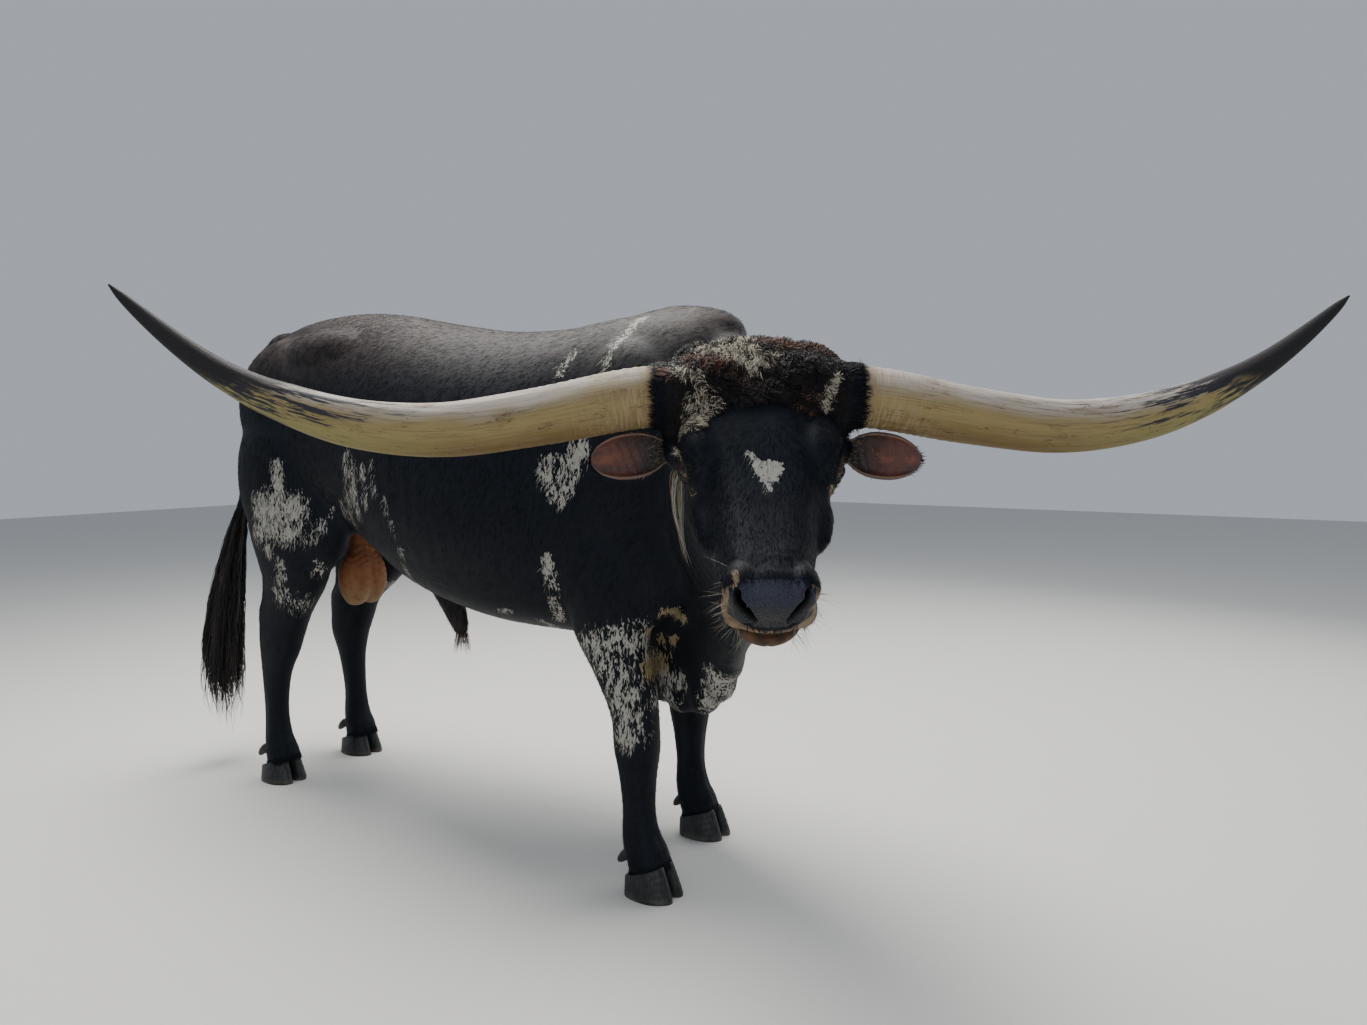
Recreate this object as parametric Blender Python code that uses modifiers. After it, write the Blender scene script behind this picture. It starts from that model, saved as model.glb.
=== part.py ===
"""Texas longhorn bull, life size, standing with its head turned to its right.

Metres, +Z up. The body frame has its origin on the floor, midway between the
forefeet, with +X along the body towards the head and +Y to the bull's left.
The flesh is lofted from named stations, fused, and parted with thin cuts into
nodes. At the end everything moves so that the origin is under the middle of
the whole figure.
"""
import math
import random

import bmesh
import bpy
import numpy as np
from mathutils import Matrix, Vector
from mathutils.bvhtree import BVHTree

# Driving sizes
GAP = 0.0003
BODY_VOXEL = 0.0125
HEAD_VOXEL = 0.0075
BODY_FACES = 5000
HEAD_FACES = 3250

# Head frame: u to the bull's left, v down the face, w out of the face
HEAD_ORIGIN = Vector((0.590, -0.682, 1.199))
HEAD_TURN = math.radians(-57.0)
FACE_DROP = math.radians(42.0)
NAPE_BEHIND = 0.150
EYE_RADIUS = 0.0205
EYE_SPREAD = 0.112
EYE_ALONG = 0.146
EYE_DEPTH = -0.030
EYE_LOOKS = (0.90, 0.10, 0.42)
LID_HALF_LENGTH = 0.0190
LID_HALF_HEIGHT = 0.0105
LID_RADIUS = 0.0052
MOUTH_DEPTH = -0.101
MOUTH_BACK = 0.300
NOSTRIL = (0.037, 0.416, -0.052)

# Curly coat of the poll: rows from the nape over the crest to the brow, each with its half width
CURL_ROWS = ((-0.090, 0.100), (-0.068, 0.130), (-0.034, 0.152), (0.000, 0.154), (0.034, 0.150))
CURL_PITCH = 0.043
CURL_LENGTH = 0.058
CURL_WIDTH = 0.044
CURL_THICK = 0.024
CURL_RISE = 0.011
CURL_SINK = 0.007

# Hair at the roots of the ears, of the tail's end and of the sheath
TASSEL_REACHES = (0.62, 1.0, 0.45, 0.80)
SWITCH_LOCKS = 22
SWITCH_LOCK_WIDTH = 0.046
SWITCH_LOCK_THICK = 0.019
SHEATH_LOCKS = 6

# Horns
HORN_ROOT = 0.168
HORN_RADIUS = 0.0505
HORN_REACH = {"right": 1.040, "left": 1.022}
HORN_SWEEP = {"right": 0.070, "left": -0.040}
HORN_DROP = {"right": 0.056, "left": 0.049}
HORN_LEVEL_AGAIN = {"right": 0.735, "left": 0.700}
HORN_RISE = 0.175

# Ears
EAR_LENGTH = 0.146
EAR_GAP = 0.0010

# Feet: name, hoof centre x, hoof centre y
FEET = {
    "fore_right": (0.050, -0.196),
    "fore_left": (-0.040, 0.196),
    "hind_right": (-1.455, -0.170),
    "hind_left": (-1.475, 0.165),
}
HOCK_SHIFT = {"hind_right": 0.000, "hind_left": -0.045}
DEWLAP_HALF = 0.128
HOOF_LENGTH = 0.128
HOOF_WIDTH = 0.060
CORONET = 0.066
CORONET_SLOPE = 0.34

SIDES = {"right": -1.0, "left": 1.0}


# Scene and material helpers

def clear_scene():
    for item in list(bpy.data.objects):
        bpy.data.objects.remove(item, do_unlink=True)


def make_collection(name):
    group = bpy.data.collections.new(name)
    bpy.context.scene.collection.children.link(group)
    return group


def make_material(name, colour, roughness, metallic=0.0):
    material = bpy.data.materials.new(name)
    material.use_nodes = True
    shader = material.node_tree.nodes["Principled BSDF"]
    shader.inputs["Base Color"].default_value = (*colour, 1.0)
    shader.inputs["Roughness"].default_value = roughness
    shader.inputs["Metallic"].default_value = metallic
    return material


def object_from(name, mesh, group):
    item = bpy.data.objects.new(name, mesh)
    group.objects.link(item)
    return item


def drop(item):
    mesh = item.data
    bpy.data.objects.remove(item, do_unlink=True)
    bpy.data.meshes.remove(mesh)


def applied(item):
    """Give the object the mesh that its modifiers make, and remove the modifiers."""
    graph = bpy.context.evaluated_depsgraph_get()
    mesh = bpy.data.meshes.new_from_object(item.evaluated_get(graph))
    item.modifiers.clear()
    old = item.data
    item.data = mesh
    bpy.data.meshes.remove(old)
    return item


def largest_shell(item):
    """Keep the one closed surface with the most volume."""
    bm = bmesh.new()
    bm.from_mesh(item.data)
    bmesh.ops.triangulate(bm, faces=bm.faces[:])
    left = set(bm.verts)
    shells = []
    while left:
        seed = left.pop()
        shell = {seed}
        front = [seed]
        while front:
            vert = front.pop()
            for edge in vert.link_edges:
                other = edge.other_vert(vert)
                if other in left:
                    left.discard(other)
                    shell.add(other)
                    front.append(other)
        shells.append(shell)

    def volume(shell):
        faces = {face for vert in shell for face in vert.link_faces}
        total = 0.0
        for face in faces:
            a, b, c = (loop.vert.co for loop in face.loops)
            total += a.dot(b.cross(c)) / 6.0
        return total

    shells.sort(key=volume, reverse=True)
    spare = [vert for shell in shells[1:] for vert in shell]
    bmesh.ops.delete(bm, geom=spare, context="VERTS")
    bm.to_mesh(item.data)
    bm.free()
    return item


def boolean(item, other, operation):
    modifier = item.modifiers.new("cut", "BOOLEAN")
    modifier.object = other
    modifier.operation = operation
    modifier.solver = "EXACT"
    return applied(item)


# Shape helpers

def ring(centre, across, up, half_width, rise, drop_down, sides=24, power=1.0, narrow=(0.0, 0.0)):
    """Closed ring: half_width to both sides of centre, rise above it, drop_down below.

    narrow takes that share off the width towards the top and towards the bottom.
    """
    points = []
    for k in range(sides):
        turn = 2.0 * math.pi * k / sides
        c, s = math.cos(turn), math.sin(turn)
        a = math.copysign(abs(c) ** power, c) * half_width
        a *= 1.0 - (narrow[0] if s > 0.0 else narrow[1]) * s * s
        b = math.copysign(abs(s) ** power, s) * (rise if s > 0.0 else drop_down)
        points.append(Vector(centre) + Vector(across) * a + Vector(up) * b)
    return points


def loft(name, rings, group):
    """Skin through rings with equal counts, closed by a flat or bent cap at each end."""
    count = len(rings[0])
    points = [p for line in rings for p in line]
    faces = []
    for i in range(len(rings) - 1):
        for k in range(count):
            j = (k + 1) % count
            faces.append((i * count + k, i * count + j, (i + 1) * count + j, (i + 1) * count + k))
    first = tuple(reversed(range(count)))
    last = tuple(range((len(rings) - 1) * count, len(rings) * count))
    mesh = bpy.data.meshes.new(name)
    mesh.from_pydata(points, [], faces + [first, last])
    mesh.update()
    item = object_from(name, mesh, group)
    bm = bmesh.new()
    bm.from_mesh(mesh)
    bmesh.ops.recalc_face_normals(bm, faces=bm.faces[:])
    bm.to_mesh(mesh)
    bm.free()
    return item


def ellipsoid(name, centre, radii, group, turn=None, segments=24):
    bm = bmesh.new()
    bmesh.ops.create_uvsphere(bm, u_segments=segments, v_segments=segments // 2, radius=1.0)
    place = Matrix.Translation(centre)
    if turn is not None:
        place = place @ turn
    bmesh.ops.transform(bm, matrix=place @ Matrix.Diagonal((*radii, 1.0)), verts=bm.verts[:])
    mesh = bpy.data.meshes.new(name)
    bm.to_mesh(mesh)
    bm.free()
    return object_from(name, mesh, group)


def smooth_curve(points, count):
    """Catmull-Rom curve through the points, as count rows, with the same rule for every column."""
    table = np.array(points, dtype=float)
    ends = np.vstack([2 * table[0] - table[1], table, 2 * table[-1] - table[-2]])
    rows = []
    for value in np.linspace(0.0, len(table) - 1.000001, count):
        k = int(value)
        t = value - k
        a, b, c, d = ends[k:k + 4]
        rows.append(0.5 * (2 * b + (c - a) * t + (2 * a - 5 * b + 4 * c - d) * t ** 2
                           + (3 * b - a - 3 * c + d) * t ** 3))
    return np.array(rows)


def tube(name, path, group, sides=12, flat=1.0, side_axis=None):
    """Loft along path rows (x, y, z, radius); flat scales the radius along side_axis."""
    places = path[:, :3]
    steps = np.gradient(places, axis=0)
    rings = []
    guide = Vector(side_axis) if side_axis is not None else Vector((0.0, 1.0, 0.0))
    for place, step, radius in zip(places, steps, path[:, 3]):
        along = Vector(step).normalized()
        up = along.cross(guide).normalized()
        across = up.cross(along).normalized()
        rings.append(ring(place, across, up, radius * flat, radius, radius, sides))
    return loft(name, rings, group)


def lock(path, width, thick, side_axis, group, blunt=0.10, sides=5):
    """Flat lock of hair along the path: full a third of the way down, then thinner to its tip.

    blunt is the share of its girth that is left at the tip.
    """
    share = np.linspace(0.0, 1.0, len(path))
    girth = np.minimum(1.0, 0.72 + 0.9 * share) * (1.0 - (1.0 - blunt) * share ** 2.2)
    rows = np.column_stack([np.array(path), 0.5 * thick * girth])
    return tube("lock", rows, group, sides, width / thick, side_axis)


def fuse(name, forms, group, voxel, smooth_steps, faces):
    """One closed skin round all the forms, blended where they meet, with about so many triangles."""
    bm = bmesh.new()
    for form in forms:
        bm.from_mesh(form.data)
        drop(form)
    mesh = bpy.data.meshes.new(name)
    bm.to_mesh(mesh)
    bm.free()
    item = object_from(name, mesh, group)
    remesh = item.modifiers.new("blend", "REMESH")
    remesh.mode = "VOXEL"
    remesh.voxel_size = voxel
    applied(item)
    soften = item.modifiers.new("soften", "SMOOTH")
    soften.factor = 0.5
    soften.iterations = smooth_steps
    applied(item)
    largest_shell(item)
    reduce = item.modifiers.new("reduce", "DECIMATE")
    reduce.ratio = faces / (2.0 * len(item.data.polygons))
    return applied(item)


def grown(item, group, margin=GAP):
    """Copy of a closed mesh with every face moved out by the margin."""
    bm = bmesh.new()
    bm.from_mesh(item.data)
    bmesh.ops.triangulate(bm, faces=bm.faces[:])
    bm.normal_update()
    shift = {vert: vert.normal * vert.calc_shell_factor() * margin for vert in bm.verts}
    for vert, move in shift.items():
        vert.co += move
    mesh = bpy.data.meshes.new(item.name + "_socket")
    bm.to_mesh(mesh)
    bm.free()
    return object_from(item.name + "_socket", mesh, group)


def seat(host, guest, group, margin=GAP):
    """Cut in the host the socket that holds the guest, the margin wider all round."""
    socket = grown(guest, group, margin)
    boolean(host, socket, "DIFFERENCE")
    drop(socket)
    return largest_shell(host)


def prism(name, outline, axis, low, high, grow, group):
    """Convex outline, counter-clockwise in the plane across the axis, run from low to high."""
    count = len(outline)
    corners = []
    for k in range(count):
        before = Vector(outline[k - 1])
        here = Vector(outline[k])
        after = Vector(outline[(k + 1) % count])
        first = (here - before).normalized()
        second = (after - here).normalized()
        out_first = Vector((first.y, -first.x))
        out_second = Vector((second.y, -second.x))
        mitre = (out_first + out_second) / (1.0 + out_first.dot(out_second))
        corners.append(here + mitre * grow)
    order = {"x": (2, 0, 1), "y": (0, 2, 1), "z": (0, 1, 2)}[axis]
    rings = []
    for level in (low - grow, high + grow):
        rings.append([Vector([(p.x, p.y, level)[i] for i in order]) for p in corners])
    return loft(name, rings, group)


def take(body, region, group):
    """Part the body: the piece inside the region, and the rest kept the gap away from it."""
    piece = object_from("piece", body.data.copy(), group)
    inner = region(0.0)
    boolean(piece, inner, "INTERSECT")
    drop(inner)
    outer = region(GAP)
    boolean(body, outer, "DIFFERENCE")
    drop(outer)
    largest_shell(body)
    return largest_shell(piece)


def finish(item, name, material, group):
    """Name the node, give it its material and round shading, and keep it in the model's group."""
    item.name = name
    item.data.name = name
    item.data.materials.clear()
    item.data.materials.append(material)
    item.data.shade_smooth()
    item.data.set_sharp_from_angle(angle=math.radians(40.0))
    for other in list(item.users_collection):
        other.objects.unlink(item)
    group.objects.link(item)
    return item


# Head frame

def head_matrix():
    forward = Vector((math.cos(HEAD_TURN), math.sin(HEAD_TURN), 0.0))
    left = Vector((-forward.y, forward.x, 0.0))
    up = Vector((0.0, 0.0, 1.0))
    down_face = forward * math.cos(FACE_DROP) - up * math.sin(FACE_DROP)
    out_face = forward * math.sin(FACE_DROP) + up * math.cos(FACE_DROP)
    axes = Matrix((left, down_face, out_face)).transposed().to_4x4()
    return Matrix.Translation(HEAD_ORIGIN) @ axes


HEAD = head_matrix()


def on_head(u, v, w):
    return HEAD @ Vector((u, v, w))


def level_head(outward, forward, up, side=1.0):
    """Place given level with the floor: outward to one side, forward where the head faces."""
    ahead = Vector((math.cos(HEAD_TURN), math.sin(HEAD_TURN), 0.0))
    left = Vector((-ahead.y, ahead.x, 0.0))
    return HEAD_ORIGIN + left * side * outward + ahead * forward + Vector((0.0, 0.0, up))


# Body forms

def torso_forms(group):
    """Barrel from the pin bones to the chest: x, back, belly, half width, height of the widest line."""
    stations = [
        (-1.690, 1.262, 1.080, 0.078, 1.180),
        (-1.640, 1.375, 0.960, 0.132, 1.165),
        (-1.540, 1.462, 0.880, 0.188, 1.160),
        (-1.400, 1.508, 0.850, 0.236, 1.170),
        (-1.200, 1.524, 0.830, 0.258, 1.170),
        (-1.020, 1.512, 0.768, 0.285, 1.100),
        (-0.800, 1.472, 0.668, 0.335, 1.015),
        (-0.550, 1.434, 0.612, 0.355, 0.970),
        (-0.330, 1.428, 0.600, 0.335, 0.960),
        (-0.150, 1.448, 0.600, 0.285, 0.980),
        (0.020, 1.458, 0.610, 0.245, 1.000),
        (0.130, 1.432, 0.625, 0.205, 1.000),
        (0.210, 1.340, 0.700, 0.150, 1.000),
    ]
    rings = []
    for x, back, belly, half, widest in smooth_curve(stations, 34):
        centre = (x, 0.0, widest)
        rings.append(ring(centre, (0, 1, 0), (0, 0, 1), half, back - widest, widest - belly, 32, 0.88))
    forms = [loft("barrel", rings, group)]
    for side in SIDES.values():
        forms.append(ellipsoid("shoulder", (-0.055, side * 0.160, 1.030), (0.215, 0.115, 0.345), group))
        forms.append(ellipsoid("upper_arm", (0.020, side * 0.178, 0.850), (0.145, 0.090, 0.180), group))
        forms.append(ellipsoid("rump", (-1.400, side * 0.130, 1.228), (0.242, 0.122, 0.224), group))
        forms.append(ellipsoid("haunch", (-1.400, side * 0.158, 1.010), (0.225, 0.112, 0.275), group))
        forms.append(ellipsoid("hook_bone", (-1.160, side * 0.145, 1.372), (0.240, 0.092, 0.092), group))
        forms.append(ellipsoid("pin_bone", (-1.632, side * 0.080, 1.275), (0.054, 0.045, 0.062), group))
        forms.append(ellipsoid("stifle", (-1.235, side * 0.165, 0.860), (0.110, 0.075, 0.150), group))
    forms.append(ellipsoid("hump", (0.000, 0.0, 1.395), (0.190, 0.085, 0.075), group))
    forms.append(ellipsoid("chest_front", (0.110, -0.030, 0.880), (0.170, 0.165, 0.270), group))
    forms.append(ellipsoid("tail_head", (-1.600, 0.0, 1.425), (0.110, 0.052, 0.070), group))
    return forms


def neck_forms(group):
    """Neck that bends to the head: x, y, crest, throat, half width, height of the widest line."""
    stations = [
        (-0.060, 0.000, 1.435, 0.640, 0.190, 1.020),
        (0.110, -0.015, 1.415, 0.610, 0.215, 1.000),
        (0.235, -0.105, 1.355, 0.630, 0.195, 0.990),
        (0.335, -0.240, 1.315, 0.680, 0.168, 0.995),
        (0.410, -0.370, 1.285, 0.745, 0.148, 1.010),
        (0.470, -0.485, 1.264, 0.805, 0.132, 1.040),
        (0.525, -0.575, 1.252, 0.868, 0.116, 1.070),
        (0.570, -0.650, 1.235, 0.950, 0.095, 1.100),
    ]
    table = smooth_curve(stations, 24)
    steps = np.gradient(table[:, :2], axis=0)
    rings = []
    for (x, y, crest, throat, half, widest), step in zip(table, steps):
        along = Vector((step[0], step[1], 0.0)).normalized()
        across = Vector((-along.y, along.x, 0.0))
        rings.append(ring((x, y, widest), across, (0, 0, 1), half, crest - widest, widest - throat, 28, 0.92,
                          (0.42, 0.50)))
    forms = [loft("neck", rings, group)]
    # Loose fold of skin from the throat to the brisket: x, y, top, bottom, half thickness
    fold = [
        (-0.200, -0.010, 0.720, 0.575, 0.050),
        (-0.090, -0.015, 0.740, 0.462, 0.068),
        (0.020, -0.030, 0.760, 0.424, 0.074),
        (0.110, -0.055, 0.780, 0.430, 0.068),
        (0.185, -0.105, 0.800, 0.490, 0.056),
        (0.250, -0.180, 0.820, 0.575, 0.046),
        (0.330, -0.300, 0.850, 0.655, 0.038),
        (0.410, -0.425, 0.900, 0.745, 0.030),
        (0.470, -0.510, 0.950, 0.835, 0.022),
    ]
    table = smooth_curve(fold, 22)
    steps = np.gradient(table[:, :2], axis=0)
    rings = []
    for (x, y, top, bottom, half), step in zip(table, steps):
        along = Vector((step[0], step[1], 0.0)).normalized()
        across = Vector((-along.y, along.x, 0.0))
        middle = 0.5 * (top + bottom)
        rings.append(ring((x, y, middle), across, (0, 0, 1), half, top - middle, middle - bottom, 20, 0.8))
    forms.append(loft("dewlap", rings, group))
    return forms


def limb(name, stations, group, count=22):
    """Leg from stations (x, y, z, half length, half width), level sections."""
    rings = []
    for x, y, z, half_length, half_width in smooth_curve(stations, count):
        rings.append(ring((x, y, z), (1, 0, 0), (0, 1, 0), half_length, half_width, half_width, 18, 0.92))
    return loft(name, rings, group)


def foreleg_forms(name, group):
    foot_x, foot_y = FEET[name]
    side = math.copysign(1.0, foot_y)
    out = side * 0.196
    knee_x = foot_x - 0.055
    stations = [
        (-0.050, side * 0.190, 0.860, 0.120, 0.085),
        (-0.070, side * 0.208, 0.740, 0.125, 0.082),
        (-0.072, side * 0.206, 0.640, 0.104, 0.072),
        (0.5 * (knee_x - 0.065), side * 0.202, 0.540, 0.083, 0.062),
        (knee_x - 0.006, out, 0.440, 0.064, 0.052),
        (knee_x, out, 0.360, 0.061, 0.054),
        (knee_x + 0.002, out, 0.300, 0.050, 0.046),
        (knee_x + 0.004, out, 0.215, 0.044, 0.037),
        (knee_x + 0.010, out, 0.150, 0.050, 0.041),
        (knee_x + 0.024, out, 0.112, 0.057, 0.050),
        (knee_x + 0.038, out, 0.070, 0.055, 0.053),
        (knee_x + 0.042, out, 0.030, 0.054, 0.053),
    ]
    forms = [limb(name, stations, group)]
    forms.append(ellipsoid("elbow", (-0.150, side * 0.185, 0.715), (0.055, 0.045, 0.070), group))
    return forms


def hindleg_forms(name, group):
    foot_x, foot_y = FEET[name]
    side = math.copysign(1.0, foot_y)
    out = foot_y
    cannon_x = foot_x - 0.030
    hock_x = cannon_x + HOCK_SHIFT[name]
    stations = [
        (-1.370, side * 0.165, 0.960, 0.205, 0.095),
        (-1.372, side * 0.172, 0.840, 0.190, 0.090),
        (-1.364, side * 0.174, 0.740, 0.162, 0.078),
        (0.5 * (hock_x - 1.260), side * 0.172, 0.650, 0.126, 0.066),
        (hock_x + 0.066, out, 0.570, 0.108, 0.059),
        (hock_x + 0.040, out, 0.500, 0.096, 0.056),
        (hock_x + 0.024, out, 0.430, 0.081, 0.050),
        (0.4 * hock_x + 0.6 * cannon_x + 0.004, out, 0.350, 0.056, 0.041),
        (cannon_x - 0.002, out, 0.240, 0.045, 0.036),
        (cannon_x + 0.004, out, 0.155, 0.050, 0.040),
        (cannon_x + 0.016, out, 0.112, 0.057, 0.049),
        (cannon_x + 0.028, out, 0.070, 0.055, 0.053),
        (cannon_x + 0.032, out, 0.030, 0.054, 0.053),
    ]
    forms = [limb(name, stations, group, 24)]
    forms.append(ellipsoid("hock_point", (hock_x - 0.044, out, 0.545), (0.028, 0.026, 0.062), group))
    # Cord from the hock up into the haunch
    cord = [
        (hock_x - 0.046, out, 0.540, 0.022),
        (hock_x - 0.022, side * 0.170, 0.640, 0.026),
        (hock_x + 0.010, side * 0.165, 0.760, 0.050),
        (-1.460, side * 0.160, 0.900, 0.070),
    ]
    forms.append(tube("cord", smooth_curve(cord, 10), group))
    return forms


def head_forms(group):
    """Skull and flesh of the head, in the head frame.

    Stations down the face: v, face line, jaw line, half width at the brow, half width at the jaw,
    share of the depth at which it is widest.
    """
    stations = [
        (-0.098, 0.010, -0.120, 0.085, 0.060),
        (-0.070, 0.034, -0.180, 0.122, 0.080),
        (-0.020, 0.044, -0.225, 0.140, 0.090),
        (0.040, 0.041, -0.250, 0.138, 0.092),
        (0.090, 0.033, -0.252, 0.132, 0.092),
        (0.140, 0.022, -0.240, 0.124, 0.088),
        (0.190, 0.010, -0.215, 0.110, 0.080),
        (0.250, 0.001, -0.185, 0.092, 0.068),
        (0.310, -0.003, -0.160, 0.077, 0.058),
        (0.355, -0.003, -0.146, 0.070, 0.054),
        (0.390, -0.006, -0.140, 0.067, 0.052),
    ]
    rings = []
    sides = 28
    for v, face, jaw, brow_half, jaw_half in smooth_curve(stations, 26):
        depth = face - jaw
        line = []
        for k in range(sides):
            turn = 2.0 * math.pi * k / sides
            c, s = math.cos(turn), math.sin(turn)
            share = 0.5 - 0.5 * math.copysign(abs(s) ** 0.72, s)
            half = brow_half + (jaw_half - brow_half) * share
            line.append(on_head(math.copysign(abs(c) ** 0.62, c) * half, v, face - depth * share))
        rings.append(line)
    forms = [loft("skull", rings, group)]
    turn = HEAD.to_3x3().to_4x4()
    # Muzzle: broad pad with the nose plate, and the lower lip under it
    middle = {
        "muzzle": ((0.0, 0.380, -0.048), (0.070, 0.052, 0.046)),
        "upper_lip": ((0.0, 0.390, -0.072), (0.070, 0.046, 0.030)),
        "lower_lip": ((0.0, 0.376, -0.120), (0.050, 0.050, 0.030)),
    }
    for name, (place, radii) in middle.items():
        forms.append(ellipsoid(name, on_head(*place), radii, group, turn))
    paired = {
        "nostril_wing": ((0.046, 0.385, -0.034), (0.027, 0.036, 0.034)),
        "brow": ((0.096, 0.104, -0.002), (0.036, 0.062, 0.030)),
        "orbit": ((0.094, 0.148, -0.036), (0.034, 0.044, 0.036)),
        "cheek_bone": ((0.080, 0.205, -0.066), (0.026, 0.080, 0.026)),
        "cheek": ((0.072, 0.095, -0.150), (0.044, 0.100, 0.085)),
        "ear_boss": ((0.118, 0.058, -0.068), (0.042, 0.042, 0.040)),
    }
    for side in SIDES.values():
        for name, ((u, v, w), radii) in paired.items():
            forms.append(ellipsoid(name, on_head(side * u, v, w), radii, group, turn))
        boss = smooth_curve([(*on_head(side * 0.050, -0.012, -0.004), 0.066),
                             (*on_head(side * 0.120, -0.006, 0.000), 0.063),
                             (*on_head(side * 0.200, 0.000, 0.000), 0.063)], 6)
        forms.append(tube("horn_boss", boss, group, 20))
    return forms


# Separate pieces

def horn_height(share, side_name):
    """Height of the horn's axis over its root: a shallow droop, level again, then up to the tip."""
    turn = HORN_LEVEL_AGAIN[side_name]
    if share < turn:
        return -HORN_DROP[side_name] * math.sin(math.pi * (share / turn) ** 1.36)
    climb = (share - turn) / (1.0 - turn)
    return HORN_RISE * (0.6 * climb + 0.4 * climb * climb)


def horn_path(side_name):
    """Rows of the horn's axis and radius, from the root to the tip."""
    side = SIDES[side_name]
    span = HORN_REACH[side_name] - HORN_ROOT
    # share of the reach, radius as a share of the root's
    girth = [(0.00, 1.03), (0.12, 1.00), (0.25, 0.95), (0.42, 0.895), (0.52, 0.845), (0.62, 0.76),
             (0.71, 0.63), (0.79, 0.49), (0.86, 0.38), (0.92, 0.285), (0.975, 0.16), (1.00, 0.03)]
    rows = []
    for share, thick in smooth_curve(girth, 19):
        sweep = HORN_SWEEP[side_name] * share ** 1.5
        place = level_head(HORN_ROOT + share * span, sweep, horn_height(share, side_name), side)
        rows.append((*place, HORN_RADIUS * thick))
    return np.array(rows)


def horn(side_name, group):
    return tube("horn", horn_path(side_name), group, 12, side_axis=(0.0, 0.0, 1.0))


def ear(side_name, group):
    """Ear: a leaf-shaped cup on a short round stem, open to the front and held out level."""
    side = SIDES[side_name]
    root = Vector((side * 0.136, 0.058, -0.068))
    reach = Vector((side * 0.985, 0.060, -0.120)).normalized()
    face = Vector((0.0, 0.72, 0.69)).normalized()
    face = (face - reach * face.dot(reach)).normalized()
    across = reach.cross(face)
    # share of the length, half width, cup depth, wall
    profile = [
        (0.00, 0.019, 0.0190, 0.0190),
        (0.14, 0.021, 0.0185, 0.0180),
        (0.24, 0.030, 0.0200, 0.0090),
        (0.38, 0.038, 0.0200, 0.0060),
        (0.55, 0.0400, 0.0170, 0.0055),
        (0.72, 0.0370, 0.0130, 0.0050),
        (0.88, 0.0270, 0.0080, 0.0045),
        (0.96, 0.0160, 0.0050, 0.0040),
        (1.00, 0.0060, 0.0030, 0.0030),
    ]
    rings = []
    for share, half, cup, wall in smooth_curve(profile, 11):
        start = root + reach * (share * EAR_LENGTH)
        steps = 8
        outer, inner = [], []
        for k in range(steps + 1):
            t = -1.0 + 2.0 * k / steps
            bend = math.sqrt(max(0.0, 1.0 - t * t))
            outer.append(start + across * (t * half) - face * (cup * bend))
            inner.append(start + across * (t * half * 0.90) - face * ((cup - wall) * bend - wall * 0.45))
        rings.append([HEAD @ p for p in outer + inner[::-1]])
    return loft("ear", rings, group)


def eye(side_name, group):
    centre = on_head(SIDES[side_name] * EYE_SPREAD, EYE_ALONG, EYE_DEPTH)
    return ellipsoid("eye", centre, (EYE_RADIUS,) * 3, group, None, 12)


def eye_axes(side):
    """Centre of the eye, the way it looks, along the slit towards the nose, and up across the slit."""
    centre = on_head(side * EYE_SPREAD, EYE_ALONG, EYE_DEPTH)
    turn = HEAD.to_3x3()
    looks = (turn @ Vector((side * EYE_LOOKS[0], EYE_LOOKS[1], EYE_LOOKS[2]))).normalized()
    along = turn @ Vector((0.0, 0.98, 0.06))
    along = (along - looks * along.dot(looks)).normalized()
    above = looks.cross(along).normalized()
    if above.dot(turn @ Vector((0.0, -0.5, 0.8))) < 0.0:
        above = -above
    return centre, looks, along, above


def lids(side, group):
    """Upper and lower lid: two tapered rolls that lie on the eyeball and meet at its corners."""
    centre, looks, along, above = eye_axes(side)
    rolls = []
    for sign, bulge in ((1.0, 1.15), (-1.0, 0.85)):
        rows = []
        for k in range(9):
            turn = math.pi * (k / 8.0)
            a = math.cos(turn) * LID_HALF_LENGTH * 1.12
            b = math.sin(turn) * LID_HALF_HEIGHT * sign * bulge + sign * 0.003
            out = math.sqrt(max(0.0, (EYE_RADIUS + 0.0015) ** 2 - a * a - b * b))
            place = centre + along * a + above * b + looks * out
            rows.append((*place, LID_RADIUS * (0.45 + 0.55 * math.sin(turn))))
        rolls.append(tube("lid", np.array(rows), group, 6, side_axis=looks))
    return rolls


def surface_ray(tree, start, direction):
    """Outermost place where the line from start along direction leaves the surface."""
    far = Vector(start) + Vector(direction).normalized() * 0.5
    hit = tree.ray_cast(far, -Vector(direction).normalized())
    return hit[0], hit[1]


def mouth_line(tree, group):
    """Groove that runs round the muzzle between the lips, to be cut from the head."""
    rows = []
    steps = 26
    for k in range(steps + 1):
        share = -1.0 + 2.0 * k / steps
        swing = math.radians(118.0) * share
        start = Vector((0.0, 0.350, MOUTH_DEPTH - 0.012 * share * share))
        direction = Vector((math.sin(swing), math.cos(swing), 0.0))
        place, _ = surface_ray(tree, HEAD @ start, HEAD.to_3x3() @ direction)
        local = HEAD.inverted() @ place
        if local.y < MOUTH_BACK:
            continue
        thin = 1.0 - 0.55 * abs(share) ** 3
        rows.append((*place, 0.0042 * thin))
    return tube("mouth", np.array(rows), group, 6, side_axis=tuple(HEAD.to_3x3() @ Vector((0.0, 0.0, 1.0))))


def nostril(side, group):
    """The two hollows of one nostril, to be cut from the head: a round one and a slit up and out from it."""
    turn = HEAD.to_3x3().to_4x4()
    u, v, w = NOSTRIL
    lean = Matrix.Rotation(side * math.radians(28.0), 4, "Y")
    hollow = ellipsoid("nostril", on_head(side * u, v, w), (0.0115, 0.026, 0.0135), group, turn, 14)
    slit_place = on_head(side * (u + 0.010), v - 0.010, w + 0.020)
    slit = ellipsoid("nostril", slit_place, (0.0050, 0.022, 0.0200), group, turn @ lean, 14)
    return hollow, slit


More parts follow.
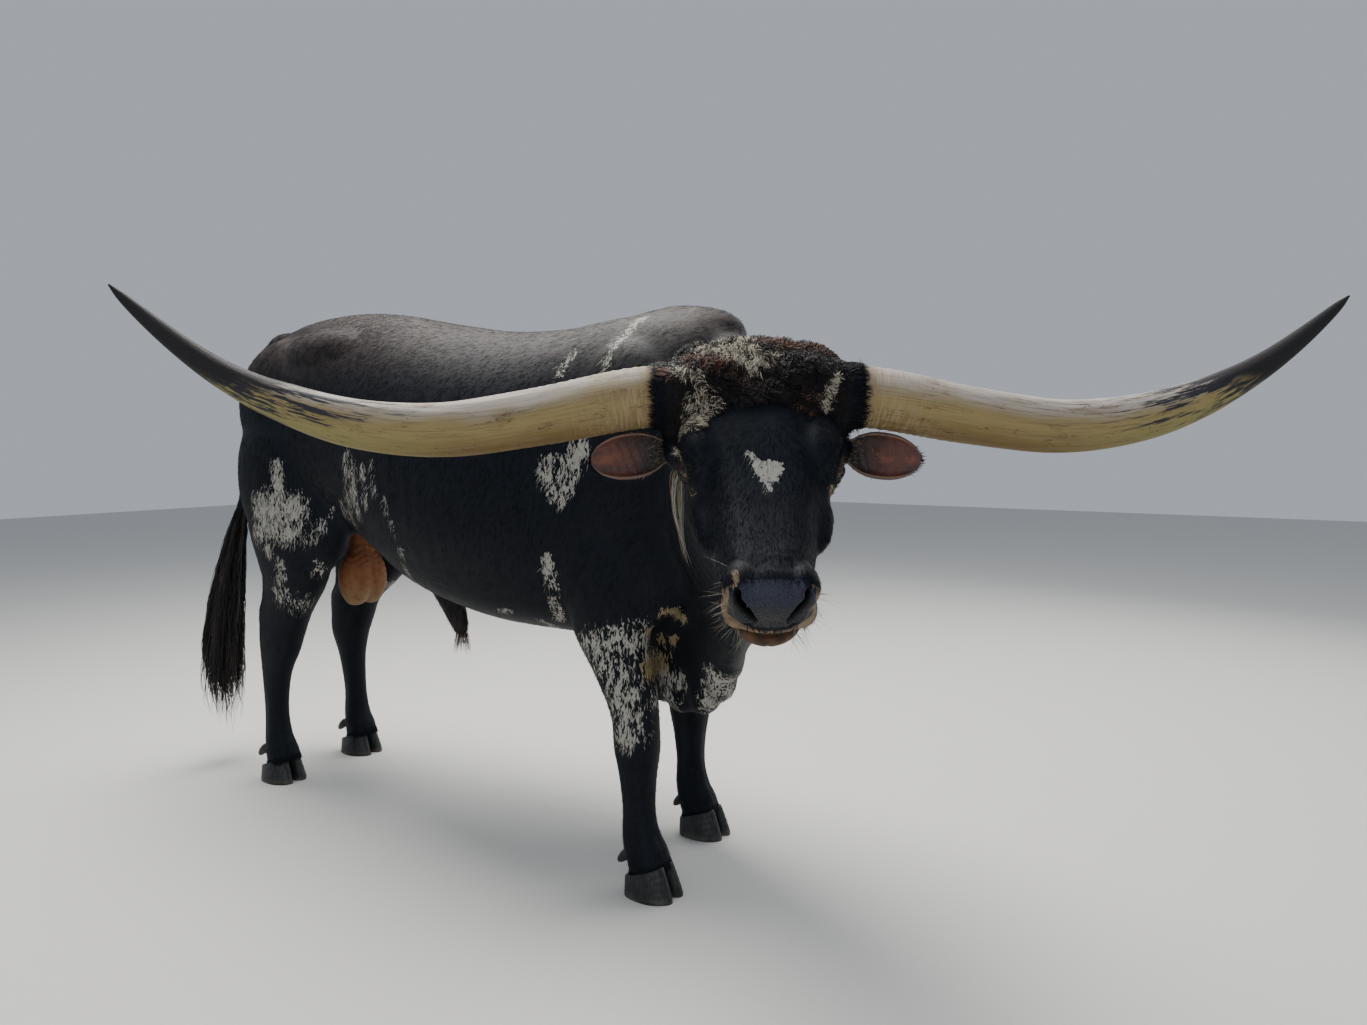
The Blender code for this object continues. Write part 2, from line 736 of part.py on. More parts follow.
def curl_places(draw):
    """Roots of the curls in head coordinates u, v, and the way each lies, from the crest down and back."""
    places = []
    for row, (v, edge) in enumerate(CURL_ROWS):
        count = int(2.0 * edge / CURL_PITCH)
        for k in range(count):
            u = -edge + 2.0 * edge * (k + 0.5 + 0.35 * (row % 2)) / (count + 0.35)
            back = v < -0.080
            lie = Vector((0.9 * u / edge + draw.uniform(-0.5, 0.5), -1.0 if back else 1.0, 0.0))
            places.append((u + draw.uniform(-0.004, 0.004), v + draw.uniform(-0.005, 0.005), lie))
    # The band that runs down to the right brow, and the few curls over the left one
    for k in range(4):
        lie = Vector((-0.8 + draw.uniform(-0.3, 0.3), 1.0, 0.0))
        places.append((-0.066 - 0.018 * k, 0.056 + 0.010 * k, lie))
    for k in range(2):
        lie = Vector((0.5 + draw.uniform(-0.3, 0.3), 1.0, 0.0))
        places.append((0.070 + 0.030 * k, 0.060, lie))
    return places


def poll_curls(tree, group):
    """Curly coat between the horns: rounded clumps, close together, each bent over along its lie."""
    draw = random.Random(11)
    turn = HEAD.to_3x3()
    above = turn @ Vector((0.0, 0.0, 1.0))
    curls = []
    for u, v, lie in curl_places(draw):
        place, normal = surface_ray(tree, on_head(u, v, 0.0), above)
        if place is None:
            continue
        lie = turn @ lie
        lie = (lie - normal * lie.dot(normal)).normalized()
        side = normal.cross(lie)
        length = CURL_LENGTH * draw.uniform(0.85, 1.15)
        swerve = draw.choice((-1.0, 1.0)) * draw.uniform(0.10, 0.28) * length
        path = []
        for t in np.linspace(0.0, 1.0, 4):
            under, out, _, _ = tree.find_nearest(place + lie * (length * t) + side * (swerve * t * t))
            height = -CURL_SINK + (CURL_SINK + CURL_RISE) * math.sin(0.75 * math.pi * t)
            path.append(tuple(under + out * height))
        curls.append(lock(path, CURL_WIDTH, CURL_THICK, side, group, 0.40, 6))
    return curls


def ear_tassel(side, group):
    """Locks that hang from under the root of the ear down past the cheek."""
    draw = random.Random(5)
    # outward, forward, up from the head's origin
    line = smooth_curve([(0.118, 0.000, -0.112), (0.142, 0.004, -0.138), (0.140, 0.012, -0.200),
                         (0.124, 0.022, -0.262), (0.102, 0.032, -0.325)], 9)
    forward = Vector((math.cos(HEAD_TURN), math.sin(HEAD_TURN), 0.0))
    locks = []
    for k, reach in enumerate(TASSEL_REACHES):
        apart = (k - 1.5) * 0.0075
        path = []
        for t in np.linspace(0.0, reach, 5):
            outward, ahead, up = (np.interp(8.0 * t, np.arange(9), line[:, i]) for i in range(3))
            spread = apart * (1.0 - 0.6 * t)
            path.append(tuple(level_head(outward + draw.uniform(0.0, 0.002), ahead + spread, up, side)))
        locks.append(lock(path, 0.011, 0.006, forward, group, 0.14))
    return locks


def join_on(host, pieces, group):
    """One union of the host with all the pieces."""
    bunch = bpy.data.collections.new("bunch")
    group.children.link(bunch)
    for piece in pieces:
        group.objects.unlink(piece)
        bunch.objects.link(piece)
    modifier = host.modifiers.new("join", "BOOLEAN")
    modifier.operand_type = "COLLECTION"
    modifier.collection = bunch
    modifier.operation = "UNION"
    modifier.solver = "EXACT"
    applied(host)
    for piece in pieces:
        drop(piece)
    bpy.data.collections.remove(bunch)
    return largest_shell(host)


def carve(host, cutter):
    boolean(host, cutter, "DIFFERENCE")
    drop(cutter)
    return largest_shell(host)


def hoof_top(x, foot_x):
    """Height of the coronet, higher at the toe than at the heel."""
    return CORONET + CORONET_SLOPE * (x - foot_x)


def claw(foot, outer_sign, group):
    """One of the two claws of a foot: flat sole, sloping front wall, straight inner wall."""
    foot_x, foot_y = FEET[foot]
    slit = 0.002
    # share of the height, shift along x, half length, width
    profile = [(0.0, 0.000, 0.500, 1.00), (0.10, -0.001, 0.500, 1.02), (1.0, -0.016, 0.400, 0.86)]
    rings = []
    steps = 14
    for share, shift, half_share, width_share in profile:
        half = HOOF_LENGTH * half_share
        width = HOOF_WIDTH * width_share
        line = []
        for k in range(steps):
            turn = 2.0 * math.pi * k / steps
            c, s = math.cos(turn), math.sin(turn)
            x = foot_x + shift + c * half
            bulge = 0.5 + 0.5 * math.copysign(abs(s) ** 0.7, s)
            taper = 1.0 - 0.30 * max(0.0, c) ** 2.2
            y = foot_y + outer_sign * (slit + bulge * width * taper)
            z = share * (hoof_top(x, foot_x) - GAP)
            line.append(Vector((x, y, z)))
        rings.append(line)
    return loft("claw", rings, group)


def dewclaw(foot, outer_sign, group):
    foot_x, foot_y = FEET[foot]
    back = foot_x - 0.072
    rows = [
        (back + 0.024, foot_y + outer_sign * 0.022, 0.108, 0.0150),
        (back + 0.006, foot_y + outer_sign * 0.027, 0.098, 0.0145),
        (back - 0.010, foot_y + outer_sign * 0.029, 0.084, 0.0105),
        (back - 0.018, foot_y + outer_sign * 0.029, 0.076, 0.0050),
    ]
    return tube("dewclaw", smooth_curve(rows, 4), group, 7)


TAIL_PATH = [
    (-1.640, 0.000, 1.440, 0.040),
    (-1.715, -0.002, 1.405, 0.036),
    (-1.768, -0.008, 1.310, 0.032),
    (-1.786, -0.022, 1.160, 0.027),
    (-1.790, -0.048, 0.990, 0.023),
    (-1.794, -0.085, 0.840, 0.021),
    (-1.802, -0.120, 0.720, 0.020),
]
SWITCH_PATH = [
    (-1.8025, -0.1215, 0.7155, 0.024),
    (-1.808, -0.136, 0.650, 0.048),
    (-1.812, -0.150, 0.540, 0.070),
    (-1.814, -0.156, 0.420, 0.074),
    (-1.812, -0.160, 0.300, 0.066),
    (-1.800, -0.162, 0.190, 0.046),
    (-1.776, -0.162, 0.085, 0.010),
]


def tail(group):
    return tube("tail", smooth_curve(TAIL_PATH, 15), group, 10)


def switch(group):
    """Hair at the end of the tail: a short core, and flat locks that hang from it over one another."""
    draw = random.Random(3)
    outline = smooth_curve(SWITCH_PATH, 61)
    shares = np.linspace(0.0, 1.0, 61)

    def at(share):
        return np.array([np.interp(share, shares, outline[:, i]) for i in range(4)])

    core = [at(share) * (1.0, 1.0, 1.0, thin) for share, thin in ((0.0, 0.90), (0.08, 0.62), (0.18, 0.50),
                                                                  (0.30, 0.46), (0.42, 0.34), (0.50, 0.12))]
    body = tube("switch", np.array(core), group, 10, 0.9)
    locks = []
    for k in range(SWITCH_LOCKS):
        turn = 2.399963 * k
        start = 0.03 + 0.37 * k / SWITCH_LOCKS
        tip = min(1.0, start + draw.uniform(0.46, 0.64))
        out = Vector((math.cos(turn), math.sin(turn), 0.0))
        swerve = draw.uniform(-0.45, 0.45)
        fullness = (0.84, 0.52, 0.76)[k % 3]
        path = []
        for t in np.linspace(0.0, 1.0, 5):
            x, y, z, radius = at(start + (tip - start) * t)
            bend = Vector((math.cos(turn + swerve * t), math.sin(turn + swerve * t), 0.0))
            spread = radius * (0.20 + (fullness - 0.20) * math.sin(0.5 * math.pi * min(1.0, t / 0.40)))
            path.append((x + bend.x * spread * 0.9, y + bend.y * spread, z))
        locks.append(lock(path, SWITCH_LOCK_WIDTH, SWITCH_LOCK_THICK, (-out.y, out.x, 0.0), group, 0.08))
    return join_on(body, locks, group)


def scrotum(group):
    """Hanging bag with two lobes and a neck."""
    forms = []
    rows = [(-1.255, 0.0, 0.860, 0.045), (-1.255, 0.0, 0.780, 0.042), (-1.252, 0.0, 0.720, 0.055)]
    forms.append(tube("bag_neck", smooth_curve(rows, 6), group, 14))
    for side in SIDES.values():
        forms.append(ellipsoid("lobe", (-1.252, side * 0.032, 0.672), (0.060, 0.052, 0.098), group))
    return fuse("scrotum", forms, group, 0.008, 6, 360)


def sheath(group):
    """Fold of skin under the belly, and the tuft of hair that hangs from its opening."""
    rows = [
        (-0.935, 0.0, 0.726, 0.038),
        (-0.885, 0.0, 0.684, 0.046),
        (-0.838, 0.0, 0.622, 0.044),
        (-0.810, 0.0, 0.568, 0.034),
        (-0.800, 0.0, 0.530, 0.024),
        (-0.799, 0.0, 0.522, 0.012),
    ]
    fold = tube("sheath", smooth_curve(rows, 9), group, 10, 0.8)
    draw = random.Random(9)
    locks = []
    for k in range(SHEATH_LOCKS):
        turn = 2.0 * math.pi * k / SHEATH_LOCKS
        out = Vector((math.cos(turn), 0.8 * math.sin(turn), 0.0))
        length = draw.uniform(0.055, 0.092)
        path = []
        for t in np.linspace(0.0, 1.0, 4):
            spread = 0.011 + 0.007 * math.sin(math.pi * min(1.0, 1.2 * t)) - 0.005 * t
            path.append((-0.800 + out.x * spread + 0.006 * t, out.y * spread, 0.545 - (length + 0.004) * t))
        locks.append(lock(path, 0.014, 0.0075, (-out.y, out.x, 0.0), group, 0.12))
    return join_on(fold, locks, group)


# Regions that part the flesh

def region_foreleg(foot, work):
    side = math.copysign(1.0, FEET[foot][1])

    def make(grow):
        outline = [(DEWLAP_HALF, -0.10), (0.40, -0.10), (0.40, 0.800), (DEWLAP_HALF, 0.602)]
        if side < 0.0:
            outline = [(-y, z) for y, z in reversed(outline)]
        return prism("region", outline, "x", -0.30, 0.115, grow, work)

    return make


def region_hindleg(foot, work):
    side = math.copysign(1.0, FEET[foot][1])

    def make(grow):
        outline = [(-1.80, -0.10), (-1.05, -0.10), (-1.05, 0.700), (-1.80, 0.860)]
        low, high = (0.004, 0.45) if side > 0.0 else (-0.45, -0.004)
        return prism("region", outline, "y", low, high, grow, work)

    return make


def region_dewlap(work):
    """The hanging fold between and before the forelegs."""
    def make(grow):
        outline = [(-DEWLAP_HALF, 0.30), (DEWLAP_HALF, 0.30), (DEWLAP_HALF, 0.585), (-DEWLAP_HALF, 0.585)]
        return prism("region", outline, "x", -0.26, 0.45, grow, work)

    return make


def region_below(level, foot, work):
    """Everything under a level round one leg."""
    x, y = FEET[foot]

    def make(grow):
        outline = [(x - 0.30, y - 0.16), (x + 0.30, y - 0.16), (x + 0.30, y + 0.16), (x - 0.30, y + 0.16)]
        return prism("region", outline, "z", -0.10, level, grow, work)

    return make


def region_hoof(foot, work):
    """Everything under the sloping coronet of one foot."""
    x, y = FEET[foot]

    def make(grow):
        near, far = x - 0.15, x + 0.15
        outline = [(near, -0.10), (far, -0.10), (far, hoof_top(far, x)), (near, hoof_top(near, x))]
        return prism("region", outline, "y", y - 0.12, y + 0.12, grow, work)

    return make


def region_slab(origin, direction, work, size=1.2, depth=1.2):
    """Box whose near face passes through the origin, across the direction."""
    along = Vector(direction).normalized()
    turn = along.to_track_quat("Z", "Y").to_matrix().to_4x4()

    def make(grow):
        bm = bmesh.new()
        bmesh.ops.create_cube(bm, size=1.0)
        scale = Matrix.Diagonal((size + 2 * grow, size + 2 * grow, depth + 2 * grow, 1.0))
        centre = Vector(origin) + along * (0.5 * depth)
        bmesh.ops.transform(bm, matrix=Matrix.Translation(centre) @ turn @ scale, verts=bm.verts[:])
        mesh = bpy.data.meshes.new("region")
        bm.to_mesh(mesh)
        bm.free()
        return object_from("region", mesh, work)

    return make


def build():
    clear_scene()
    model = make_collection("texas_longhorn")
    work = make_collection("work")
    hide = make_material("hide_black", (0.012, 0.011, 0.012), 0.55)
    bare = make_material("skin_bare", (0.42, 0.22, 0.12), 0.60)
    horn_look = make_material("horn", (0.62, 0.52, 0.33), 0.45)
    hoof_look = make_material("hoof", (0.045, 0.042, 0.040), 0.50)
    eye_look = make_material("eye", (0.010, 0.008, 0.008), 0.08)
    hair = make_material("hair_black", (0.020, 0.016, 0.014), 0.65)

    body_forms = torso_forms(work) + neck_forms(work)
    for foot in FEET:
        body_forms += foreleg_forms(foot, work) if foot.startswith("fore") else hindleg_forms(foot, work)
    body = fuse("body", body_forms, work, BODY_VOXEL, 8, BODY_FACES)

    # Head with the last stretch of neck, so that both share one form where they are parted
    head_all = head_forms(work) + neck_forms(work)[:1]
    # Core of the curly coat, half as deep as the curls
    head_all.append(ellipsoid("poll_coat", on_head(0.0, -0.040, 0.026), (0.146, 0.070, 0.026), work,
                              HEAD.to_3x3().to_4x4()))
    for item in list(work.objects):
        if item.name.startswith("dewlap"):
            drop(item)
    head = fuse("head", head_all, work, HEAD_VOXEL, 5, HEAD_FACES)

    ahead = Vector((math.cos(HEAD_TURN), math.sin(HEAD_TURN), 0.0))
    nape = HEAD_ORIGIN - ahead * NAPE_BEHIND
    nape_out = (ahead + Vector((0.0, 0.0, 0.12))).normalized()
    front = region_slab(nape, nape_out, work)
    keep = front(0.0)
    boolean(head, keep, "INTERSECT")
    drop(keep)
    largest_shell(head)
    spare = take(body, front, work)
    drop(spare)

    nodes = {}
    for foot in FEET:
        fore = foot.startswith("fore")
        leg = take(body, region_foreleg(foot, work) if fore else region_hindleg(foot, work), work)
        lower = take(leg, region_below(0.300 if fore else 0.425, foot, work), work)
        waste = take(lower, region_hoof(foot, work), work)
        drop(waste)
        nodes[foot + "_upper"] = (leg, hide)
        for label, sign in (("inner", -1.0), ("outer", 1.0)):
            sign *= math.copysign(1.0, FEET[foot][1])
            nodes[foot + "_claw_" + label] = (claw(foot, sign, work), hoof_look)
            dew = dewclaw(foot, sign, work)
            seat(lower, dew, work)
            nodes[foot + "_dewclaw_" + label] = (dew, hoof_look)
        nodes[foot + "_lower"] = (lower, hide)

    nodes["dewlap"] = (take(body, region_dewlap(work), work), hide)
    lean = math.radians(-24.0)
    shoulder_cut = region_slab((0.205, 0.0, 1.0), (math.cos(lean), math.sin(lean), 0.10), work)
    neck = take(body, shoulder_cut, work)

    bag = scrotum(work)
    seat(body, bag, work)
    fold = sheath(work)
    seat(body, fold, work)
    rear = tail(work)
    seat(body, rear, work)
    nodes["scrotum"] = (bag, bare)
    nodes["sheath"] = (fold, bare)
    nodes["tail"] = (rear, hide)
    nodes["tail_switch"] = (switch(work), hair)
    nodes["torso"] = (body, hide)
    nodes["neck"] = (neck, hide)

    tree = BVHTree.FromObject(head, bpy.context.evaluated_depsgraph_get())
    groove = mouth_line(tree, work)
    raised = poll_curls(tree, work)
    for side in SIDES.values():
        raised += lids(side, work) + ear_tassel(side, work)
    join_on(head, raised, work)
    carve(head, groove)
    for side_name, side in SIDES.items():
        for hollow in nostril(side, work):
            carve(head, hollow)
        root, second = (Vector(row[:3]) for row in horn_path(side_name)[:2])
        carve(head, region_slab(root, second - root, work, 0.17, 0.20)(GAP))
        nodes["horn_" + side_name] = (horn(side_name, work), horn_look)
        for label, maker, look in (("ear", ear, hide), ("eye", eye, eye_look)):
            piece = maker(side_name, work)
            seat(head, piece, work, EAR_GAP if label == "ear" else GAP)
            nodes[label + "_" + side_name] = (piece, look)
    nodes["head"] = (head, hide)

    finished = [finish(item, name, look, model) for name, (item, look) in nodes.items()]
    corners = np.array([tuple(v.co) for item in finished for v in item.data.vertices])
    low, high = corners.min(axis=0), corners.max(axis=0)
    shift = Matrix.Translation((-0.5 * (low[0] + high[0]), -0.5 * (low[1] + high[1]), -low[2]))
    for item in finished:
        item.data.transform(shift)


build()
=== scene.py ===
"""Texas longhorn bull as a life-size still model: one skin, a laid coat, horns, hooves and eyes.

Everything is worked out in the bull's own frame, metres: the origin on the floor midway between
the forefeet, +X along the body to the head, +Y to the bull's left. Each piece is then moved to
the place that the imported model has.
"""
import math

import bmesh
import bpy
import numpy as np
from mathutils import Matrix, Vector
from mathutils.bvhtree import BVHTree


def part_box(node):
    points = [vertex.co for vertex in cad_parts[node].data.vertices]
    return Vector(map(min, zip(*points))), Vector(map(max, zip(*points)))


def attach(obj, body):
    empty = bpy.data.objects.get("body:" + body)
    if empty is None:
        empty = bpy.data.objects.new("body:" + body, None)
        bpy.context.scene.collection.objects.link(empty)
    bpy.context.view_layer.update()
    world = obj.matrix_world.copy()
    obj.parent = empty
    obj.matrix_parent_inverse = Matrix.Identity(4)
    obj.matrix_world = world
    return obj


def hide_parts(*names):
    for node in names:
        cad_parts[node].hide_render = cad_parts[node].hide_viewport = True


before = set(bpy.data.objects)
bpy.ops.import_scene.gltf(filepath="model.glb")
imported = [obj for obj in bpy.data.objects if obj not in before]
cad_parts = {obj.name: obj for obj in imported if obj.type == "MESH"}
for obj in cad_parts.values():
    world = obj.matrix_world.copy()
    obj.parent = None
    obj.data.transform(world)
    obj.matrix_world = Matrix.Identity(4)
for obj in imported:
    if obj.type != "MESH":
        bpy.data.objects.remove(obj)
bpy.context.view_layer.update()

# Place of the bull and of its head
# The head is turned to the bull's right and its face drops forwards. Its own frame runs
# u to the bull's left, v down the face and w out of the face.
UP = np.array((0.0, 0.0, 1.0))
HEAD_ORIGIN = np.array((0.59, -0.682, 1.199))
HEAD_TURN = math.radians(-57.0)
FACE_DROP = math.radians(42.0)
AHEAD = np.array((math.cos(HEAD_TURN), math.sin(HEAD_TURN), 0.0))
HEAD_LEFT = np.array((-AHEAD[1], AHEAD[0], 0.0))
DOWN_FACE = AHEAD * math.cos(FACE_DROP) - UP * math.sin(FACE_DROP)
OUT_FACE = AHEAD * math.sin(FACE_DROP) + UP * math.cos(FACE_DROP)
HEAD_AXES = np.array((HEAD_LEFT, DOWN_FACE, OUT_FACE))
EYE_PLACE = (0.112, 0.146, -0.03)
SIDES = {"right": -1.0, "left": 1.0}


def on_head(points):
    """Head coordinates u, v, w to places: the head's origin plus each coordinate times its axis."""
    return HEAD_ORIGIN + np.asarray(points, dtype=float) @ HEAD_AXES


def in_head(points):
    """Places to head coordinates: the part of each offset from the head's origin along each axis."""
    return (points - HEAD_ORIGIN) @ HEAD_AXES.T


def level_head(outward, forward, up, side):
    """Places level with the floor: outward to one side, forward where the head faces, and up."""
    out = np.multiply.outer(outward * side, HEAD_LEFT)
    return HEAD_ORIGIN + out + np.multiply.outer(forward, AHEAD) + np.multiply.outer(up, UP)


eye_low, eye_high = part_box("eye_right")
SHIFT = 0.5 * (np.array(eye_low) + np.array(eye_high)) - on_head(EYE_PLACE * np.array((-1.0, 1.0, 1.0)))


def ramp(value, low, high):
    """Smooth step: 0 below low, 1 above high, and 3t^2 - 2t^3 of the share t between them."""
    share = np.clip((value - low) / (high - low), 0.0, 1.0)
    return share * share * (3.0 - 2.0 * share)


def bell(value, middle, width):
    """Bell curve: e to the minus square of the offset from the middle over the width."""
    return np.exp(-((value - middle) / width) ** 2)


def unit(vectors):
    """Each vector over its own length."""
    return vectors / np.maximum(np.linalg.norm(vectors, axis=-1, keepdims=True), 1e-9)


def put(name, points, triangles):
    """Mesh object at the origin from places in the bull's frame and rows of three corner numbers."""
    mesh = bpy.data.meshes.new(name)
    mesh.vertices.add(len(points))
    mesh.vertices.foreach_set("co", np.asarray(points + SHIFT, dtype=np.float32).ravel())
    corners = np.asarray(triangles, dtype=np.int32)
    mesh.loops.add(corners.size)
    mesh.loops.foreach_set("vertex_index", corners.ravel())
    mesh.polygons.add(len(corners))
    mesh.polygons.foreach_set("loop_start", np.arange(0, corners.size, 3, dtype=np.int32))
    mesh.update(calc_edges=True)
    mesh.shade_smooth()
    piece = bpy.data.objects.new(name, mesh)
    bpy.context.scene.collection.objects.link(piece)
    return piece


def give(piece, name, kind, values):
    """Attribute on every point of the piece: FLOAT, FLOAT_VECTOR or FLOAT_COLOR rows."""
    slot = {"FLOAT": "value", "FLOAT_VECTOR": "vector", "FLOAT_COLOR": "color"}[kind]
    layer = piece.data.attributes.new(name, kind, "POINT")
    layer.data.foreach_set(slot, np.asarray(values, dtype=np.float32).ravel())


# Skin: body
# One hide over the whole animal. The barrel, shoulders, rump, neck with its hanging fold, legs,
# tail, scrotum and sheath are closed forms that are melted into one surface.
def curve_through(table, count):
    """Catmull-Rom curve: between two rows, each column is the cubic through them whose slopes
    are half the step between the rows on either side. Gives count rows."""
    table = np.asarray(table, dtype=float)
    ends = np.vstack([2 * table[0] - table[1], table, 2 * table[-1] - table[-2]])
    value = np.linspace(0.0, len(table) - 1.000001, count)
    k = value.astype(int)
    t = (value - k)[:, None]
    a, b, c, d = ends[k], ends[k + 1], ends[k + 2], ends[k + 3]
    square, cube = 2 * a - 5 * b + 4 * c - d, 3 * b - a - 3 * c + d
    return 0.5 * (2 * b + (c - a) * t + square * t ** 2 + cube * t ** 3)


def sections(centre, across, up, half, rise, fall, sides, power=1.0, narrow=(0.0, 0.0)):
    """Rings: across times half times cos^power, and up times rise (fall where sin < 0) times
    sin^power, all round. narrow takes that share times sin^2 off the width, above and below."""
    turn = 2.0 * np.pi * np.arange(sides) / sides
    c, s = np.cos(turn), np.sin(turn)
    wide = np.sign(c) * np.abs(c) ** power * (1.0 - np.where(s > 0.0, narrow[0], narrow[1]) * s * s)
    tall = np.sign(s) * np.abs(s) ** power
    a = np.asarray(half)[:, None] * wide
    b = np.where(s > 0.0, np.asarray(rise)[:, None], np.asarray(fall)[:, None]) * tall
    return (np.asarray(centre)[:, None, :] + np.asarray(across)[:, None, :] * a[..., None]
            + np.asarray(up)[:, None, :] * b[..., None])


def closed(rings):
    """Skin through equal rings with a fan at each end, turned so that its volume is positive."""
    rows, sides = rings.shape[:2]
    points = np.vstack([rings.reshape(-1, 3), rings[0].mean(axis=0), rings[-1].mean(axis=0)])
    i, k = np.meshgrid(np.arange(rows - 1), np.arange(sides), indexing="ij")
    a, b = i * sides + k, i * sides + (k + 1) % sides
    a, b = a.ravel(), b.ravel()
    around = np.arange(sides)
    after = (around + 1) % sides
    first = np.column_stack([after, around, np.full(sides, rows * sides)])
    last = np.column_stack([around, after, np.full(sides, rows * sides + 1)])
    last[:, :2] += (rows - 1) * sides
    faces = np.vstack([np.column_stack([a, b, b + sides]), np.column_stack([a, b + sides, a + sides]),
                       first, last])
    p = points[faces]
    volume = np.einsum("ij,ij->i", p[:, 0], np.cross(p[:, 1], p[:, 2])).sum()
    return points, faces if volume > 0.0 else faces[:, ::-1]


def sphere(latitude, sides):
    """Rings of the unit ball: cos of the latitude times cos and sin of the longitude, and its sine."""
    latitude, longitude = latitude[:, None], 2.0 * np.pi * np.arange(sides) / sides
    return np.stack([np.cos(latitude) * np.cos(longitude), np.cos(latitude) * np.sin(longitude),
                     np.sin(latitude) + 0.0 * longitude], axis=-1)


BALL_SIDES = 64


def ball(centre, radii, axes=np.eye(3)):
    """Ellipsoid: the unit ball times the radii along the axes, at the centre."""
    latitude = np.linspace(-0.485, 0.485, BALL_SIDES // 2) * np.pi
    return closed(np.asarray(centre) + (sphere(latitude, BALL_SIDES) * radii) @ axes)


def tube(rows, sides=16, flat=1.0, guide=(0.0, 1.0, 0.0)):
    """Rings across a path of x, y, z, radius; flat scales the radius along the guide's side."""
    rows = np.asarray(rows, dtype=float)
    along = unit(np.gradient(rows[:, :3], axis=0))
    up = unit(np.cross(along, guide))
    across = unit(np.cross(up, along))
    return sections(rows[:, :3], across, up, rows[:, 3] * flat, rows[:, 3], rows[:, 3], sides)


def joined(forms):
    """All points in one list and all triangles in one list, numbered on."""
    starts = np.cumsum([0] + [len(points) for points, _ in forms[:-1]])
    return (np.vstack([points for points, _ in forms]),
            np.vstack([faces + start for (_, faces), start in zip(forms, starts)]))


# x, back, belly, half width, height of the widest line
BARREL = [
    (-1.69, 1.262, 1.08, 0.078, 1.18), (-1.64, 1.375, 0.96, 0.132, 1.165),
    (-1.54, 1.462, 0.88, 0.188, 1.16), (-1.4, 1.508, 0.85, 0.236, 1.17),
    (-1.2, 1.524, 0.83, 0.258, 1.17), (-1.02, 1.512, 0.768, 0.285, 1.1),
    (-0.8, 1.472, 0.668, 0.335, 1.015), (-0.55, 1.434, 0.612, 0.355, 0.97),
    (-0.33, 1.428, 0.6, 0.335, 0.96), (-0.15, 1.448, 0.6, 0.285, 0.98),
    (0.02, 1.458, 0.61, 0.245, 1.0), (0.13, 1.432, 0.625, 0.205, 1.0),
    (0.21, 1.34, 0.7, 0.15, 1.0),
]
# Centre x, distance out, z, and the three radii, on both sides
FLESH = [
    (-0.055, 0.16, 1.03, 0.215, 0.115, 0.345), (0.02, 0.178, 0.85, 0.145, 0.09, 0.18),
    (-1.4, 0.13, 1.228, 0.242, 0.122, 0.224), (-1.4, 0.158, 1.01, 0.225, 0.112, 0.275),
    (-1.16, 0.145, 1.372, 0.24, 0.092, 0.092), (-1.632, 0.08, 1.275, 0.054, 0.045, 0.062),
    (-1.235, 0.165, 0.86, 0.11, 0.075, 0.15), (-0.15, 0.185, 0.715, 0.055, 0.045, 0.07),
]
HUMP = ((0.0, 0.0, 1.395), (0.19, 0.085, 0.075))
CHEST_FRONT = ((0.11, -0.03, 0.88), (0.17, 0.165, 0.27))
TAIL_HEAD = ((-1.6, 0.0, 1.425), (0.11, 0.052, 0.07))
# x, y, crest, throat, half width, height of the widest line
NECK = [
    (-0.06, 0.0, 1.435, 0.64, 0.19, 1.02), (0.11, -0.015, 1.415, 0.61, 0.215, 1.0),
    (0.235, -0.105, 1.355, 0.63, 0.195, 0.99), (0.335, -0.24, 1.315, 0.68, 0.168, 0.995),
    (0.41, -0.37, 1.285, 0.745, 0.148, 1.01), (0.47, -0.485, 1.264, 0.805, 0.132, 1.04),
    (0.525, -0.575, 1.252, 0.868, 0.116, 1.07), (0.57, -0.65, 1.235, 0.95, 0.095, 1.1),
]
# x, y, top, bottom, half thickness of the hanging fold
HANGING_FOLD = [
    (-0.2, -0.01, 0.72, 0.575, 0.05), (-0.09, -0.015, 0.74, 0.462, 0.068),
    (0.02, -0.03, 0.76, 0.424, 0.074), (0.11, -0.055, 0.78, 0.43, 0.068),
    (0.185, -0.105, 0.8, 0.49, 0.056), (0.25, -0.18, 0.82, 0.575, 0.046),
    (0.33, -0.3, 0.85, 0.655, 0.038), (0.41, -0.425, 0.9, 0.745, 0.03),
    (0.47, -0.51, 0.95, 0.835, 0.022),
]
TAIL_PATH = [
    (-1.64, 0.0, 1.44, 0.04), (-1.715, -0.002, 1.405, 0.036), (-1.768, -0.008, 1.31, 0.032),
    (-1.786, -0.022, 1.16, 0.027), (-1.79, -0.048, 0.99, 0.023), (-1.794, -0.085, 0.84, 0.021),
    (-1.802, -0.12, 0.72, 0.02), (-1.806, -0.132, 0.665, 0.012),
]
SCROTUM_NECK = [(-1.255, 0.0, 0.86, 0.045), (-1.255, 0.0, 0.78, 0.042), (-1.252, 0.0, 0.72, 0.055)]
SCROTUM_LOBE = ((-1.252, 0.032, 0.672), (0.06, 0.052, 0.098))
SHEATH = [
    (-0.935, 0.0, 0.726, 0.038), (-0.885, 0.0, 0.684, 0.046), (-0.838, 0.0, 0.622, 0.044),
    (-0.81, 0.0, 0.568, 0.034), (-0.8, 0.0, 0.53, 0.024), (-0.799, 0.0, 0.522, 0.012),
]
# Foot: hoof centre x, hoof centre y, and how far the hock stands behind the cannon
FEET = {"fore_right": (0.05, -0.196, 0.0), "fore_left": (-0.04, 0.196, 0.0),
        "hind_right": (-1.455, -0.17, 0.0), "hind_left": (-1.475, 0.165, -0.045)}


